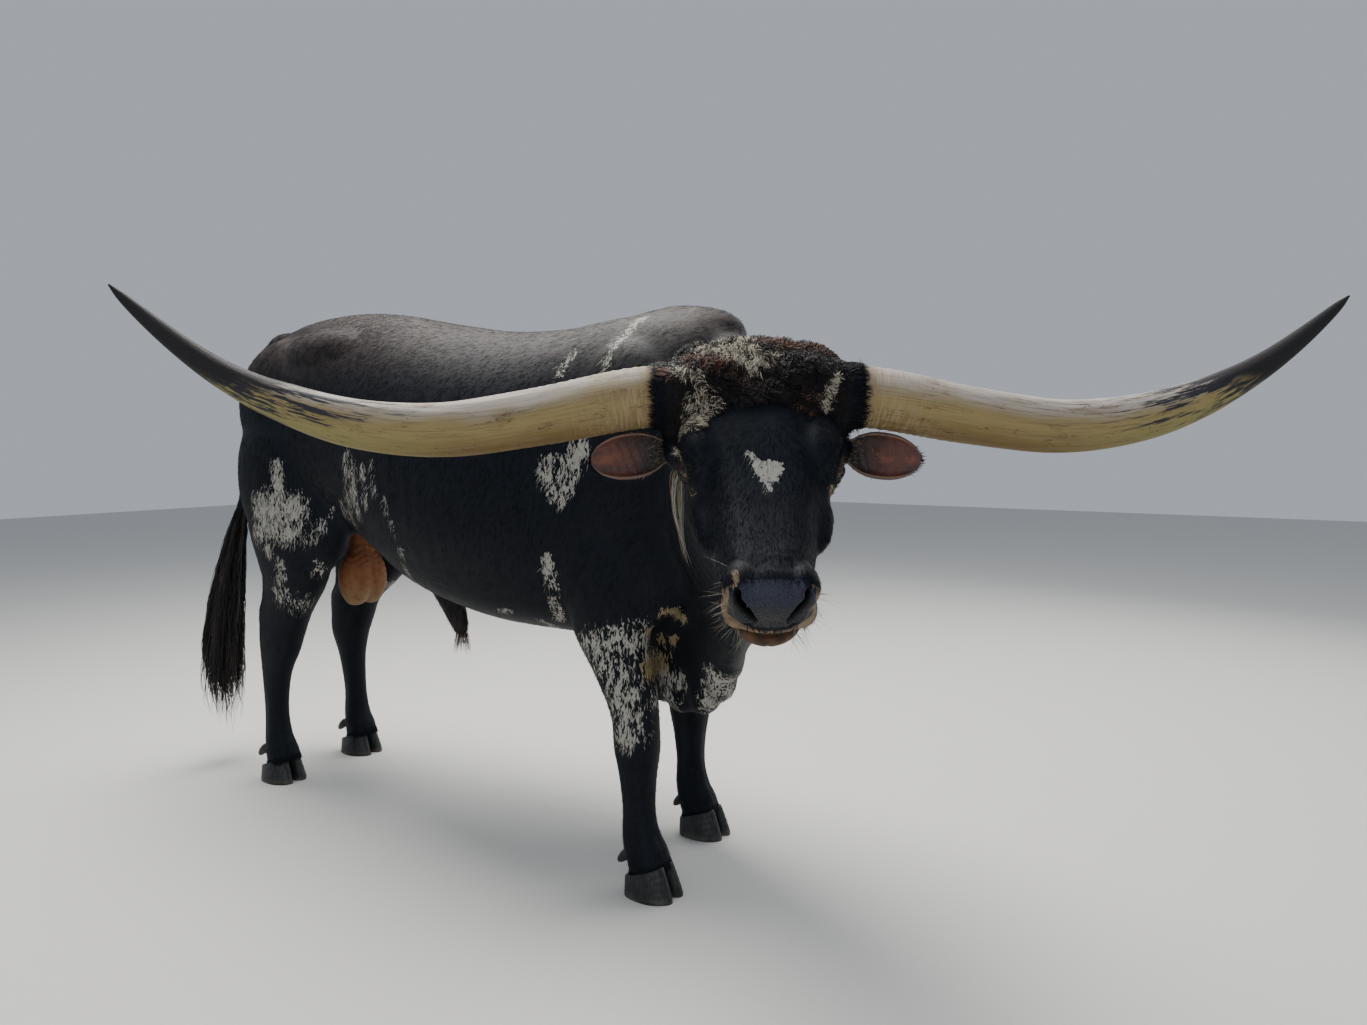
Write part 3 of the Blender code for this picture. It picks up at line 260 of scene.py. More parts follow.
def level_rings(table, count, sides, power, narrow=(0.0, 0.0)):
    """Upright rings along a bending level line: rows of x, y, top, bottom, half width, widest."""
    x, y, top, bottom, half, widest = curve_through(table, count).T
    centre = np.column_stack([x, y, widest])
    along = unit(np.gradient(centre * (1.0, 1.0, 0.0), axis=0))
    across = np.column_stack([-along[:, 1], along[:, 0], 0.0 * x])
    return sections(centre, across, UP * np.ones((count, 1)), half, top - widest, widest - bottom,
                    sides, power, narrow)


def leg(table, count=56):
    """Level rings through rows of x, y, z, half length, half width."""
    x, y, z, half_length, half_width = curve_through(table, count).T
    ones = np.ones((count, 1))
    return sections(np.column_stack([x, y, z]), ones * (1.0, 0.0, 0.0), ones * (0.0, 1.0, 0.0),
                    half_length, half_width, half_width, 40, 0.92)


def foreleg(foot_x, foot_y):
    """Leg rows from the shoulder through the knee to the coronet."""
    side, knee = math.copysign(1.0, foot_y), foot_x - 0.055
    out = foot_y
    return leg([
        (-0.05, side * 0.19, 0.86, 0.12, 0.085), (-0.07, side * 0.208, 0.74, 0.125, 0.082),
        (-0.072, side * 0.206, 0.64, 0.104, 0.072), (0.5 * (knee - 0.065), side * 0.202, 0.54, 0.083, 0.062),
        (knee - 0.006, out, 0.44, 0.064, 0.052), (knee, out, 0.36, 0.061, 0.054),
        (knee + 0.002, out, 0.3, 0.05, 0.046), (knee + 0.004, out, 0.215, 0.044, 0.037),
        (knee + 0.01, out, 0.15, 0.05, 0.041), (knee + 0.024, out, 0.112, 0.057, 0.05),
        (knee + 0.038, out, 0.07, 0.055, 0.053), (knee + 0.042, out, 0.03, 0.054, 0.053),
    ])


def hindleg(foot_x, foot_y, hock_shift):
    """Leg rows from the haunch through the hock to the coronet, its point and the cord above it."""
    side, cannon = math.copysign(1.0, foot_y), foot_x - 0.03
    hock, out = cannon + hock_shift, foot_y
    rows = [
        (-1.37, side * 0.165, 0.96, 0.205, 0.095), (-1.372, side * 0.172, 0.84, 0.19, 0.09),
        (-1.364, side * 0.174, 0.74, 0.162, 0.078), (0.5 * (hock - 1.26), side * 0.172, 0.65, 0.126, 0.066),
        (hock + 0.066, out, 0.57, 0.108, 0.059), (hock + 0.04, out, 0.5, 0.096, 0.056),
        (hock + 0.024, out, 0.43, 0.081, 0.05), (0.4 * hock + 0.6 * cannon + 0.004, out, 0.35, 0.056, 0.041),
        (cannon - 0.002, out, 0.24, 0.045, 0.036), (cannon + 0.004, out, 0.155, 0.05, 0.04),
        (cannon + 0.016, out, 0.112, 0.057, 0.049), (cannon + 0.028, out, 0.07, 0.055, 0.053),
        (cannon + 0.032, out, 0.03, 0.054, 0.053),
    ]
    cord = [(hock - 0.046, out, 0.54, 0.022), (hock - 0.022, side * 0.17, 0.64, 0.026),
            (hock + 0.01, side * 0.165, 0.76, 0.05), (-1.46, side * 0.16, 0.9, 0.07)]
    return [closed(leg(rows)), closed(tube(curve_through(cord, 30), 28)),
            ball((hock - 0.044, out, 0.545), (0.028, 0.026, 0.062))]


barrel = curve_through(BARREL, 96)
x_only = np.column_stack([barrel[:, 0], 0 * barrel[:, 0], barrel[:, 4]])
ones = np.ones((96, 1))
above, below = barrel[:, 1] - barrel[:, 4], barrel[:, 4] - barrel[:, 2]
body_forms = [closed(sections(x_only, ones * (0.0, 1.0, 0.0), ones * UP, barrel[:, 3], above, below,
                              80, 0.88))]
body_forms += [ball((x, side * y, z), (a, b, c)) for x, y, z, a, b, c in FLESH for side in SIDES.values()]
body_forms += [ball(*HUMP), ball(*CHEST_FRONT), ball(*TAIL_HEAD)]
neck_form = closed(level_rings(NECK, 72, 72, 0.92, (0.42, 0.5)))
fold_rows = np.array([(x, y, top, low, half, 0.5 * (top + low)) for x, y, top, low, half in HANGING_FOLD])
body_forms += [neck_form, closed(level_rings(fold_rows, 64, 48, 0.8))]
for foot, (foot_x, foot_y, hock_shift) in FEET.items():
    if foot.startswith("fore"):
        body_forms.append(closed(foreleg(foot_x, foot_y)))
    else:
        body_forms += hindleg(foot_x, foot_y, hock_shift)
body_forms.append(closed(tube(curve_through(TAIL_PATH, 90), 28)))
body_forms.append(closed(tube(curve_through(SCROTUM_NECK, 20), 32)))
body_forms += [ball(np.array(SCROTUM_LOBE[0]) * (1, side, 1), SCROTUM_LOBE[1]) for side in SIDES.values()]
body_forms.append(closed(tube(curve_through(SHEATH, 40), 32, 0.8)))

# Skin: head
# Skull rings down the face, with muzzle, lips, nostril wings, brows, eye sockets, cheeks, the
# bosses that carry the horns, and the roots of the ears.
# v, face line, jaw line, half width at the brow, half width at the jaw
SKULL = [
    (-0.098, 0.01, -0.12, 0.085, 0.06), (-0.07, 0.034, -0.18, 0.122, 0.08),
    (-0.02, 0.044, -0.225, 0.14, 0.09), (0.04, 0.041, -0.25, 0.138, 0.092),
    (0.09, 0.033, -0.252, 0.132, 0.092), (0.14, 0.022, -0.24, 0.124, 0.088),
    (0.19, 0.01, -0.215, 0.112, 0.086), (0.25, 0.001, -0.185, 0.095, 0.079),
    (0.31, -0.003, -0.16, 0.08, 0.07), (0.355, -0.003, -0.146, 0.072, 0.061),
    (0.39, -0.006, -0.14, 0.067, 0.052),
]
MUZZLE = [((0.0, 0.38, -0.048), (0.07, 0.052, 0.046)), ((0.0, 0.39, -0.072), (0.07, 0.046, 0.03)),
          ((0.0, 0.376, -0.12), (0.055, 0.05, 0.03))]
# Centre u, v, w and radii of the forms on both sides
FACE_SIDES = [
    ((0.046, 0.385, -0.034), (0.027, 0.036, 0.034)), ((0.096, 0.104, -0.002), (0.036, 0.062, 0.03)),
    ((0.094, 0.148, -0.036), (0.034, 0.044, 0.036)), ((0.083, 0.205, -0.066), (0.029, 0.085, 0.032)),
    ((0.072, 0.095, -0.15), (0.044, 0.1, 0.085)), ((0.118, 0.058, -0.068), (0.042, 0.042, 0.04)),
    ((0.046, 0.38, -0.08), (0.027, 0.04, 0.025)),
]
HORN_BOSS = [(0.05, -0.012, -0.004, 0.066), (0.105, -0.006, -0.001, 0.0625), (0.15, -0.002, 0.0, 0.0575),
             (0.2, 0.0, 0.0, 0.0535)]
POLL_PADS = [((0.0, -0.04, 0.024), (0.128, 0.068, 0.03)), ((0.092, -0.04, 0.026), (0.056, 0.06, 0.025)),
             ((-0.092, -0.04, 0.026), (0.06, 0.06, 0.025))]


def skull_rings(count=110, sides=88):
    """Rings across the face: the depth share goes from face line to jaw line with sin^0.72, the
    half width from brow to jaw with it, and the side follows cos^0.62."""
    v, face, jaw, brow_half, jaw_half = (column[:, None] for column in curve_through(SKULL, count).T)
    turn = 2.0 * np.pi * np.arange(sides) / sides
    c, s = np.cos(turn), np.sin(turn)
    share = 0.5 - 0.5 * np.sign(s) * np.abs(s) ** 0.72
    half = brow_half + (jaw_half - brow_half) * share
    out = np.sign(c) * np.abs(c) ** 0.62 * half
    return on_head(np.stack([out, v + 0 * half, face - (face - jaw) * share], -1))


head_forms = [closed(skull_rings()), neck_form]
head_forms += [ball(on_head(centre), radii, HEAD_AXES) for centre, radii in MUZZLE + POLL_PADS]
for side in SIDES.values():
    mirror = np.array((side, 1.0, 1.0))
    head_forms += [ball(on_head(centre * mirror), radii, HEAD_AXES) for centre, radii in FACE_SIDES]
    boss = np.array(HORN_BOSS)
    head_forms.append(closed(tube(np.column_stack([on_head(boss[:, :3] * mirror), boss[:, 3]]), 64)))

# Skin: one surface
# The forms are melted into one closed hide, finer on the head, then given its nostrils, lips,
# wrinkles, tendons and the flat ends that carry hooves and horns.
BODY_VOXEL, HEAD_VOXEL = 0.013, 0.0045


def baked(piece):
    """The mesh that the piece's modifiers make becomes its own."""
    mesh = bpy.data.meshes.new_from_object(piece.evaluated_get(bpy.context.evaluated_depsgraph_get()))
    piece.modifiers.clear()
    piece.data = mesh
    return mesh


def melted(name, forms, voxel, soften):
    """Closed skin round all the forms on a grid of voxels, each point then moved half way to the
    middle of its neighbours as often as asked; only its largest connected shell is kept."""
    piece = put(name, *joined(forms))
    blend = piece.modifiers.new("blend", "REMESH")
    blend.mode, blend.voxel_size = "VOXEL", voxel
    relax = piece.modifiers.new("relax", "SMOOTH")
    relax.factor, relax.iterations = 0.5, soften
    mesh = baked(piece)
    edges = np.zeros(2 * len(mesh.edges), dtype=np.int32)
    mesh.edges.foreach_get("vertices", edges)
    a, b = edges.reshape(-1, 2).T
    shell = np.arange(len(mesh.vertices))
    while True:
        low = np.minimum(shell[a], shell[b])
        new = shell.copy()
        np.minimum.at(new, a, low)
        np.minimum.at(new, b, low)
        new = new[new]
        if np.array_equal(new, shell):
            break
        shell = new
    keep = shell == np.bincount(shell).argmax()
    bm = bmesh.new()
    bm.from_mesh(mesh)
    bmesh.ops.delete(bm, geom=[vert for vert, kept in zip(bm.verts, keep) if not kept], context="VERTS")
    bm.to_mesh(mesh)
    bm.free()
    return piece


def places(mesh, what="co"):
    """Points or normals of a mesh as rows in the bull's frame."""
    rows = np.zeros(3 * len(mesh.vertices), dtype=np.float32)
    mesh.vertices.foreach_get(what, rows)
    rows = rows.reshape(-1, 3).astype(float)
    return rows - SHIFT if what == "co" else rows


def reshape(piece, points):
    """The piece's points moved to places in the bull's frame."""
    piece.data.vertices.foreach_set("co", (points + SHIFT).astype(np.float32).ravel())
    piece.data.update()


def on_skull(points):
    """Share by which places lie ahead of the nape."""
    return ramp((points - HEAD_ORIGIN) @ AHEAD, -0.165, -0.115)


def on_face(points):
    """Places whose surface needs the finest faces: muzzle and eyes."""
    h = in_head(points)
    eye = np.linalg.norm(h - np.array(EYE_PLACE) * np.sign(h[:, :1]) ** (1, 0, 0), axis=1)
    return (h[:, 1] > 0.3) & (h[:, 2] > -0.15) | (eye < 0.048)


def on_nostrils(points):
    """Places on the front of the muzzle, between the outer sides of the nostrils."""
    h = in_head(points)
    return (h[:, 1] > 0.385) & (np.abs(h[:, 0]) < 0.066) & (h[:, 2] > -0.078) & (h[:, 2] < 0.004)


def on_fine_body(points):
    """Head, lower legs, scrotum and sheath."""
    x, z = points[:, 0], points[:, 2]
    bag = (np.abs(x + 1.25) < 0.1) & (z < 0.8) & (np.abs(points[:, 1]) < 0.095)
    fold = (np.abs(x + 0.86) < 0.11) & (z < 0.67)
    return (on_skull(points) > 0.3) | (z < 0.17) | bag | fold


def finer(bm, inside):
    """Every edge whose two ends are inside is cut in half, and the faces with it."""
    points = np.array([vert.co for vert in bm.verts]) - SHIFT
    mask = inside(points)
    halved = [edge for edge in bm.edges if mask[edge.verts[0].index] and mask[edge.verts[1].index]]
    bmesh.ops.subdivide_edges(bm, edges=halved, cuts=1, use_grid_fill=True)
    bm.verts.index_update()


skin = melted("skin", body_forms + head_forms, BODY_VOXEL, 9)
fine_head = melted("fine_head", head_forms, HEAD_VOXEL, 7)
bm = bmesh.new()
bm.from_mesh(skin.data)
for region in (on_fine_body, on_face, on_nostrils):
    finer(bm, region)
bmesh.ops.triangulate(bm, faces=bm.faces[:])
bm.to_mesh(skin.data)
bm.free()
hold = skin.vertex_groups.new(name="head")
weights = on_skull(places(skin.data))
for level in np.linspace(0.1, 1.0, 10):
    members = np.flatnonzero((weights > level - 0.1) & (weights <= level))
    hold.add(members.tolist(), float(level), "REPLACE")
wrap = skin.modifiers.new("wrap", "SHRINKWRAP")
wrap.target, wrap.vertex_group, wrap.wrap_method = fine_head, "head", "NEAREST_SURFACEPOINT"
relax = skin.modifiers.new("relax", "SMOOTH")
relax.factor, relax.iterations = 0.5, 2
baked(skin)
bpy.data.meshes.remove(fine_head.data)

NOSTRIL_LINE = np.array([(0.05, -0.014, 0.0048), (0.051, -0.024, 0.007), (0.045, -0.037, 0.01),
                         (0.037, -0.049, 0.0115), (0.029, -0.056, 0.008)])
CORONET, CORONET_SLOPE = 0.066, 0.34


def hoof_top(x, foot_x):
    """Height of the coronet: higher at the toe than at the heel, on a straight slope."""
    return CORONET + CORONET_SLOPE * (x - foot_x)


def near_line(a, b, line):
    """Distance in a plane to a bent line of a, b, radius rows, as a share of the radius there."""
    best = np.full(len(a), 9.0)
    for (a0, b0, r0), (a1, b1, r1) in zip(line[:-1], line[1:]):
        step = np.array((a1 - a0, b1 - b0))
        share = np.clip(((a - a0) * step[0] + (b - b0) * step[1]) / (step @ step), 0.0, 1.0)
        apart = np.hypot(a - a0 - share * step[0], b - b0 - share * step[1])
        best = np.minimum(best, apart / (r0 + (r1 - r0) * share))
    return best


def mouth_height(u):
    """Height w of the line between the lips: lowest in the middle of the front, rising to the corners."""
    return -0.101 - 0.004 * bell(u, 0.0, 0.03) + 0.1 * np.maximum(0.0, np.abs(u) - 0.045)


def nostril(h):
    """How deep each place lies in a nostril: 1 along the line of the pit, 0 past its radius."""
    r = near_line(np.abs(h[:, 0]), h[:, 2], NOSTRIL_LINE)
    return (1.0 - ramp(r, 0.62, 1.08)) * ramp(h[:, 1], 0.385, 0.402)


def face_relief(h, n):
    """Moves of the head's skin in head coordinates: nostril pits and their rims, the lips on either
    side of the mouth line, the groove of the nose plate, wrinkles over the muzzle and round the eyes."""
    u, v, w = h.T
    side = np.where(u < 0.0, -1.0, 1.0)
    front = ramp(v, 0.385, 0.402)
    r = near_line(np.abs(u), w, NOSTRIL_LINE)
    floor = near_line(np.abs(u), w, NOSTRIL_LINE + (0.0035, -0.004, 0.0025))
    pit = 0.026 * (1.0 - ramp(r, 0.42, 1.08)) + 0.004 * (1.0 - ramp(floor, 0.55, 1.15))
    move = np.zeros_like(h)
    move[:, 1] -= pit * front
    move[:, 0] -= side * pit * front * 0.3
    rim = 0.0026 * bell(r, 1.45, 0.3) * ramp(np.abs(u), 0.03, 0.046) * ramp(-w, 0.0, 0.02)
    rim += 0.0014 * bell(r, 1.25, 0.2)
    gap = w - mouth_height(u)
    lips = ramp(v, 0.3, 0.335)
    swell = lips * (0.0026 * bell(gap, 0.01, 0.007) + 0.0022 * bell(gap, -0.009, 0.007)
                    - 0.0068 * bell(gap, 0.0, 0.0026))
    plate = front * bell(u, 0.0, 0.0022) * ramp(-w, 0.04, 0.06) * -0.0016
    above = ramp(v, 0.315, 0.345) * (1.0 - ramp(v, 0.385, 0.4)) * ramp(w, -0.06, -0.02)
    wander = np.sin(u * 47.0) + 0.5 * np.sin(u * 113.0 + 40.0 * v)
    creases = above * 0.00011 * (0.5 + 0.5 * np.sin(u * 61.0 + 1.0)) * np.sin(v * 430.0 + 3.1 * wander)
    cheek = bell(v, 0.305, 0.035) * bell(w, -0.105, 0.04)
    creases += cheek * 0.0008 * np.sin(v * 360.0 + w * 90.0 + 2.0 * np.sin(w * 130.0))
    mirror = np.column_stack([side, 0 * side + 1, 0 * side + 1])
    eye = np.linalg.norm(h - np.array(EYE_PLACE) * mirror, axis=1)
    spread = np.arctan2(w - EYE_PLACE[2], v - EYE_PLACE[1])
    creases += 0.0007 * ramp(-eye, -0.058, -0.034) * np.sin(eye * 760.0 + 2.2 * np.sin(3.0 * spread))
    crest = 0.003 * bell(w + 0.052 + 0.1 * (v - 0.2), 0.0, 0.01) * bell(v, 0.235, 0.06)
    hollow = -0.004 * bell(w, -0.02, 0.018) * bell(v, 0.225, 0.045) * ramp(np.abs(u), 0.05, 0.075)
    tear = -0.0022 * bell(w + 0.045, -0.35 * (v - 0.18), 0.006) * bell(v, 0.19, 0.025)
    tear = tear * ramp(np.abs(u), 0.06, 0.08)
    return move + n * (rim * front + swell + plate + creases + crest + hollow + tear)[:, None]


def body_relief(p, n):
    """Moves along the normal over the body: shallow ribs, the edge of the shoulder blade, folds of
    the neck and of the hanging skin, the groove before the tendons, and the knobs of the tail."""
    x, y, z = p.T
    rib = 0.0009 * np.sin(x * 92.0 + 5.0 * (z - 1.0) + 1.5 * np.sin(x * 11.0))
    rib = rib * bell(x, -0.6, 0.24) * bell(z, 0.98, 0.18)
    blade = -0.006 * bell(x, -0.235 - 0.16 * (z - 1.0), 0.03) * bell(z, 1.06, 0.22)
    flank = -0.007 * bell(x + 1.1, 0.55 * (z - 0.93), 0.035) * bell(z, 0.9, 0.14)
    low_fold = ramp(-z, -0.66, -0.5) * ramp(x, -0.2, -0.1) * (np.abs(y) < 0.19)
    ripple = 0.0042 * low_fold * np.sin(x * 74.0 + 16.0 * z + 2.0 * np.sin(9.0 * z))
    neck = ramp((p - np.array((0.2, -0.1, 0.0))) @ np.array((0.56, -0.83, 0.0)), 0.0, 0.12)
    along_neck = p @ np.array((0.56, -0.83, 0.1))
    uneven = 0.5 + 0.5 * np.sin(along_neck * 23.0 + 6.0 * z) * np.sin(z * 17.0 + 1.0)
    creases = 0.0022 * neck * uneven * np.sin(along_neck * 84.0 + 7.0 * z + 2.4 * np.sin(z * 14.0))
    creases = creases * bell(z, 0.98, 0.22)
    cannon = bell(z, 0.215, 0.075)
    tendon = np.zeros_like(x)
    for foot, (foot_x, foot_y, _) in FEET.items():
        middle = foot_x - (0.055 if foot.startswith("fore") else 0.034)
        beside = (np.abs(x - middle) < 0.12) & (np.abs(y - foot_y) < 0.1)
        groove = beside * cannon * -0.0042 * bell(x, middle - 0.012, 0.009)
        tendon += groove * ramp(np.abs(y - foot_y), 0.012, 0.026)
    knobs = (x < -1.745) * 0.0004 * np.sin(z * 190.0) * ramp(z, 0.72, 0.8) * ramp(-z, -1.34, -1.22)
    bag = (np.abs(x + 1.252) < 0.09) & (np.abs(y) < 0.1) & (z < 0.8)
    wrinkle = bag * 0.0014 * np.sin(z * 300.0 + 3.0 * np.sin(x * 60.0) + 2.0 * np.sin(y * 80.0))
    wrinkle = wrinkle * ramp(z, 0.62, 0.76)
    seam = bag * -0.004 * bell(y, 0.0, 0.007)
    pucker = (np.abs(x + 0.82) < 0.06) * (z < 0.6) * 0.0016 * np.sin(7.0 * np.arctan2(y, x + 0.812))
    return n * (rib + blade + flank + ripple + creases + tendon + knobs + wrinkle + seam + pucker)[:, None]


HORN_ROOT = 0.168
p, n = places(skin.data), places(skin.data, "normal")
skull = on_skull(p)[:, None]
give(skin, "pit", "FLOAT", nostril(in_head(p)) * skull[:, 0])
h_move = face_relief(in_head(p), n @ HEAD_AXES.T) @ HEAD_AXES
p = p - 0.0012 * n + skull * h_move + (1.0 - skull) * body_relief(p, n)
for foot_x, foot_y, _ in FEET.values():
    beside = (np.abs(p[:, 0] - foot_x) < 0.2) & (np.abs(p[:, 1] - foot_y) < 0.14) & (p[:, 2] < 0.14)
    p[:, 2] = np.where(beside, np.maximum(p[:, 2], hoof_top(p[:, 0], foot_x) - 0.006), p[:, 2])
h = in_head(p)
boss = (np.abs(h[:, 0]) > HORN_ROOT) & (np.linalg.norm(h[:, 1:] + (0.004, 0.0), axis=1) < 0.085)
h[:, 0] = np.where(boss, np.sign(h[:, 0]) * (HORN_ROOT + 0.1 * (np.abs(h[:, 0]) - HORN_ROOT)), h[:, 0])
p = np.where(boss[:, None], on_head(h), p)
reshape(skin, p)
skin.data.shade_smooth()

# Markings
# White, tan and rust hair as soft fields round short lines on the hide; the finish breaks them
# into flecks. Skin and coat read the same fields, so that a tuft has the colour of its root.
# x, y, z of both ends, radius, strength
WHITE_HAIR = [
    (-1.319, -0.261, 1.04, -1.325, -0.258, 0.93, 0.026, 1.0),
    (-1.4, -0.262, 0.91, -1.268, -0.245, 0.91, 0.058, 1.0),
    (-1.42, -0.255, 0.845, -1.28, -0.246, 0.85, 0.046, 0.9),
    (-1.386, -0.254, 0.784, -1.38, -0.25, 0.775, 0.022, 0.8),
    (-1.215, -0.232, 0.818, -1.165, -0.225, 0.862, 0.022, 0.66),
    (-1.15, -0.214, 0.885, -1.128, -0.21, 0.905, 0.016, 0.7),
    (-1.046, -0.245, 0.9, -1.05, -0.245, 0.875, 0.018, 0.8),
    (-0.934, -0.304, 1.1, -0.945, -0.295, 1.0, 0.02, 0.66),
    (-0.96, -0.29, 0.97, -1.0, -0.249, 0.868, 0.022, 0.66),
    (-1.028, -0.265, 0.935, -1.015, -0.26, 0.9, 0.02, 0.8),
    (-0.9, -0.312, 1.05, -0.915, -0.297, 0.92, 0.026, 0.8),
    (-0.845, -0.326, 1.045, -0.839, -0.323, 0.955, 0.02, 0.62),
    (-0.796, -0.332, 1.06, -0.782, -0.335, 0.985, 0.016, 0.55),
    (-0.737, -0.34, 0.965, -0.716, -0.333, 0.88, 0.012, 0.46),
    (-1.335, -0.245, 0.735, -1.345, -0.235, 0.7, 0.024, 0.8),
    (-1.365, -0.227, 0.655, -1.331, -0.184, 0.61, 0.036, 0.85),
    (-1.299, -0.187, 0.65, -1.31, -0.187, 0.62, 0.03, 0.85),
    (-1.211, -0.196, 0.74, -1.22, -0.195, 0.72, 0.02, 0.8),
    (-1.399, -0.2, 0.55, -1.405, -0.2, 0.53, 0.018, 0.75),
    (-0.712, -0.314, 0.822, -0.716, -0.312, 0.81, 0.014, 0.8),
    (-0.744, -0.28, 0.772, -0.752, -0.262, 0.75, 0.014, 0.8),
    (-0.77, -0.24, 0.732, -0.751, -0.21, 0.697, 0.015, 0.85),
    (-0.438, -0.216, 0.666, -0.391, -0.228, 0.676, 0.013, 0.8),
    (-0.32, -0.19, 0.65, -0.303, -0.129, 0.621, 0.014, 0.8),
    (-0.56, -0.2, 0.645, -0.5, -0.195, 0.64, 0.01, 0.7),
    (-0.212, -0.286, 0.827, -0.213, -0.263, 0.762, 0.016, 0.9),
    (-0.225, -0.241, 0.719, -0.247, -0.197, 0.664, 0.018, 0.9),
    (-0.218, -0.302, 1.078, -0.214, -0.3, 1.02, 0.013, 1.0),
    (-0.194, -0.298, 1.075, -0.188, -0.295, 0.985, 0.014, 1.0),
    (-0.165, -0.29, 1.085, -0.16, -0.288, 0.975, 0.014, 1.0),
    (-0.14, -0.281, 1.115, -0.14, -0.281, 1.005, 0.014, 1.0),
    (-0.118, -0.27, 1.13, -0.12, -0.272, 1.05, 0.013, 1.0),
    (-0.098, -0.265, 1.14, -0.1, -0.266, 1.085, 0.011, 0.95),
    (-0.085, -0.27, 0.612, 0.025, -0.235, 0.643, 0.052, 0.72),
    (-0.02, -0.26, 0.59, 0.005, -0.25, 0.42, 0.052, 0.72),
    (0.015, -0.098, 0.515, 0.061, -0.108, 0.523, 0.03, 0.75),
    (0.048, -0.192, 0.502, 0.021, -0.083, 0.461, 0.034, 0.72),
    (0.199, -0.159, 0.552, 0.156, -0.086, 0.468, 0.04, 0.92),
    (0.237, -0.153, 0.556, 0.2, -0.12, 0.5, 0.03, 0.9),
    (-0.043, -0.093, 1.435, -0.062, -0.159, 1.384, 0.016, 0.85),
    (-0.062, -0.159, 1.384, -0.072, -0.232, 1.3, 0.015, 0.85),
    (-0.189, -0.198, 1.348, -0.204, -0.236, 1.29, 0.012, 0.8),
    (-1.36, 0.262, 1.05, -1.345, 0.262, 0.96, 0.022, 0.9),
    (-1.43, 0.258, 0.92, -1.29, 0.25, 0.9, 0.056, 0.95),
    (-1.4, 0.255, 0.845, -1.27, 0.246, 0.86, 0.04, 0.8), (-1.19, 0.23, 0.88, -1.13, 0.225, 0.93, 0.022, 0.62),
    (-1.39, 0.215, 0.68, -1.32, 0.19, 0.62, 0.036, 0.8), (-1.43, 0.21, 0.59, -1.41, 0.205, 0.54, 0.018, 0.6),
    (-0.99, 0.295, 1.08, -0.95, 0.29, 0.96, 0.024, 0.75), (-0.93, 0.31, 0.96, -0.98, 0.28, 0.86, 0.024, 0.68),
    (-0.87, 0.318, 1.02, -0.85, 0.3, 0.94, 0.018, 0.6), (-0.77, 0.335, 0.9, -0.73, 0.335, 0.86, 0.012, 0.5),
    (-0.47, 0.35, 1.1, -0.39, 0.345, 0.99, 0.016, 0.6), (-0.4, 0.345, 0.86, -0.34, 0.325, 0.79, 0.016, 0.7),
    (-0.245, 0.3, 1.12, -0.2, 0.3, 1.02, 0.02, 0.85), (-0.17, 0.29, 1.06, -0.12, 0.28, 0.96, 0.02, 0.8),
    (-0.76, 0.24, 0.73, -0.7, 0.23, 0.7, 0.016, 0.8), (-0.4, 0.22, 0.67, -0.33, 0.19, 0.65, 0.014, 0.8),
    (-0.12, 0.272, 0.64, -0.07, 0.25, 0.5, 0.046, 0.66), (-0.043, 0.12, 1.42, -0.066, 0.2, 1.34, 0.014, 0.8),
]
TAN_HAIR = [
    (0.092, -0.213, 0.715, 0.11, -0.197, 0.719, 0.012, 1.0),
    (0.11, -0.197, 0.719, 0.1, -0.146, 0.686, 0.012, 1.0),
    (0.038, -0.199, 0.658, 0.01, -0.104, 0.619, 0.014, 1.0),
    (0.047, -0.11, 0.624, 0.06, -0.13, 0.632, 0.012, 1.0),
    (0.038, -0.198, 0.576, 0.0, -0.099, 0.552, 0.036, 0.8),
]
# The same on the head: u and v of both ends, radius, strength
WHITE_HEAD = [
    (-0.085, -0.06, -0.015, -0.066, 0.016, 0.85), (-0.05, -0.036, 0.004, -0.028, 0.017, 0.85),
    (-0.024, -0.016, 0.0, -0.01, 0.01, 0.7), (-0.132, 0.0, -0.104, 0.012, 0.011, 0.85),
    (-0.098, 0.026, -0.09, 0.042, 0.009, 0.5), (-0.104, 0.056, -0.076, 0.048, 0.016, 0.44),
    (-0.124, 0.092, -0.092, 0.072, 0.018, 0.58), (0.104, 0.05, 0.126, 0.012, 0.0065, 1.0),
    (-0.022, 0.156, -0.008, 0.172, 0.0042, 1.4), (-0.01, 0.177, 0.022, 0.179, 0.007, 1.4),
    (-0.007, 0.189, 0.02, 0.19, 0.0074, 1.4), (-0.002, 0.203, 0.013, 0.201, 0.0068, 1.4),
    (0.004, 0.214, 0.007, 0.224, 0.0036, 1.3), (0.026, 0.18, 0.032, 0.186, 0.0022, 1.1),
]
RUST_HEAD = [
    (-0.106, -0.026, -0.062, -0.018, 0.017, 0.66), (-0.092, -0.006, -0.07, 0.0, 0.01, 0.34),
    (-0.154, 0.0, -0.146, 0.01, 0.01, 0.46), (0.016, -0.078, 0.14, -0.062, 0.015, 0.55),
    (0.072, 0.038, 0.092, 0.044, 0.007, 0.28), (0.068, 0.064, 0.084, 0.07, 0.006, 0.24),
    (-0.05, 0.01, -0.01, 0.018, 0.01, 0.14),
]


def field(spots, lines):
    """Largest of the lines' strengths times a smooth fall from 1 on the line to 0 at 1.6 radii."""
    size = spots.shape[1]
    best = np.zeros(len(spots))
    for row in lines:
        start, end = np.array(row[:size]), np.array(row[size:2 * size])
        step = end - start
        share = np.clip((spots - start) @ step / max(step @ step, 1e-9), 0.0, 1.0)
        apart = np.linalg.norm(spots - start - share[:, None] * step, axis=1)
        best = np.maximum(best, row[-1] * (1.0 - ramp(apart / row[-2], 0.25, 1.6)))
    return best


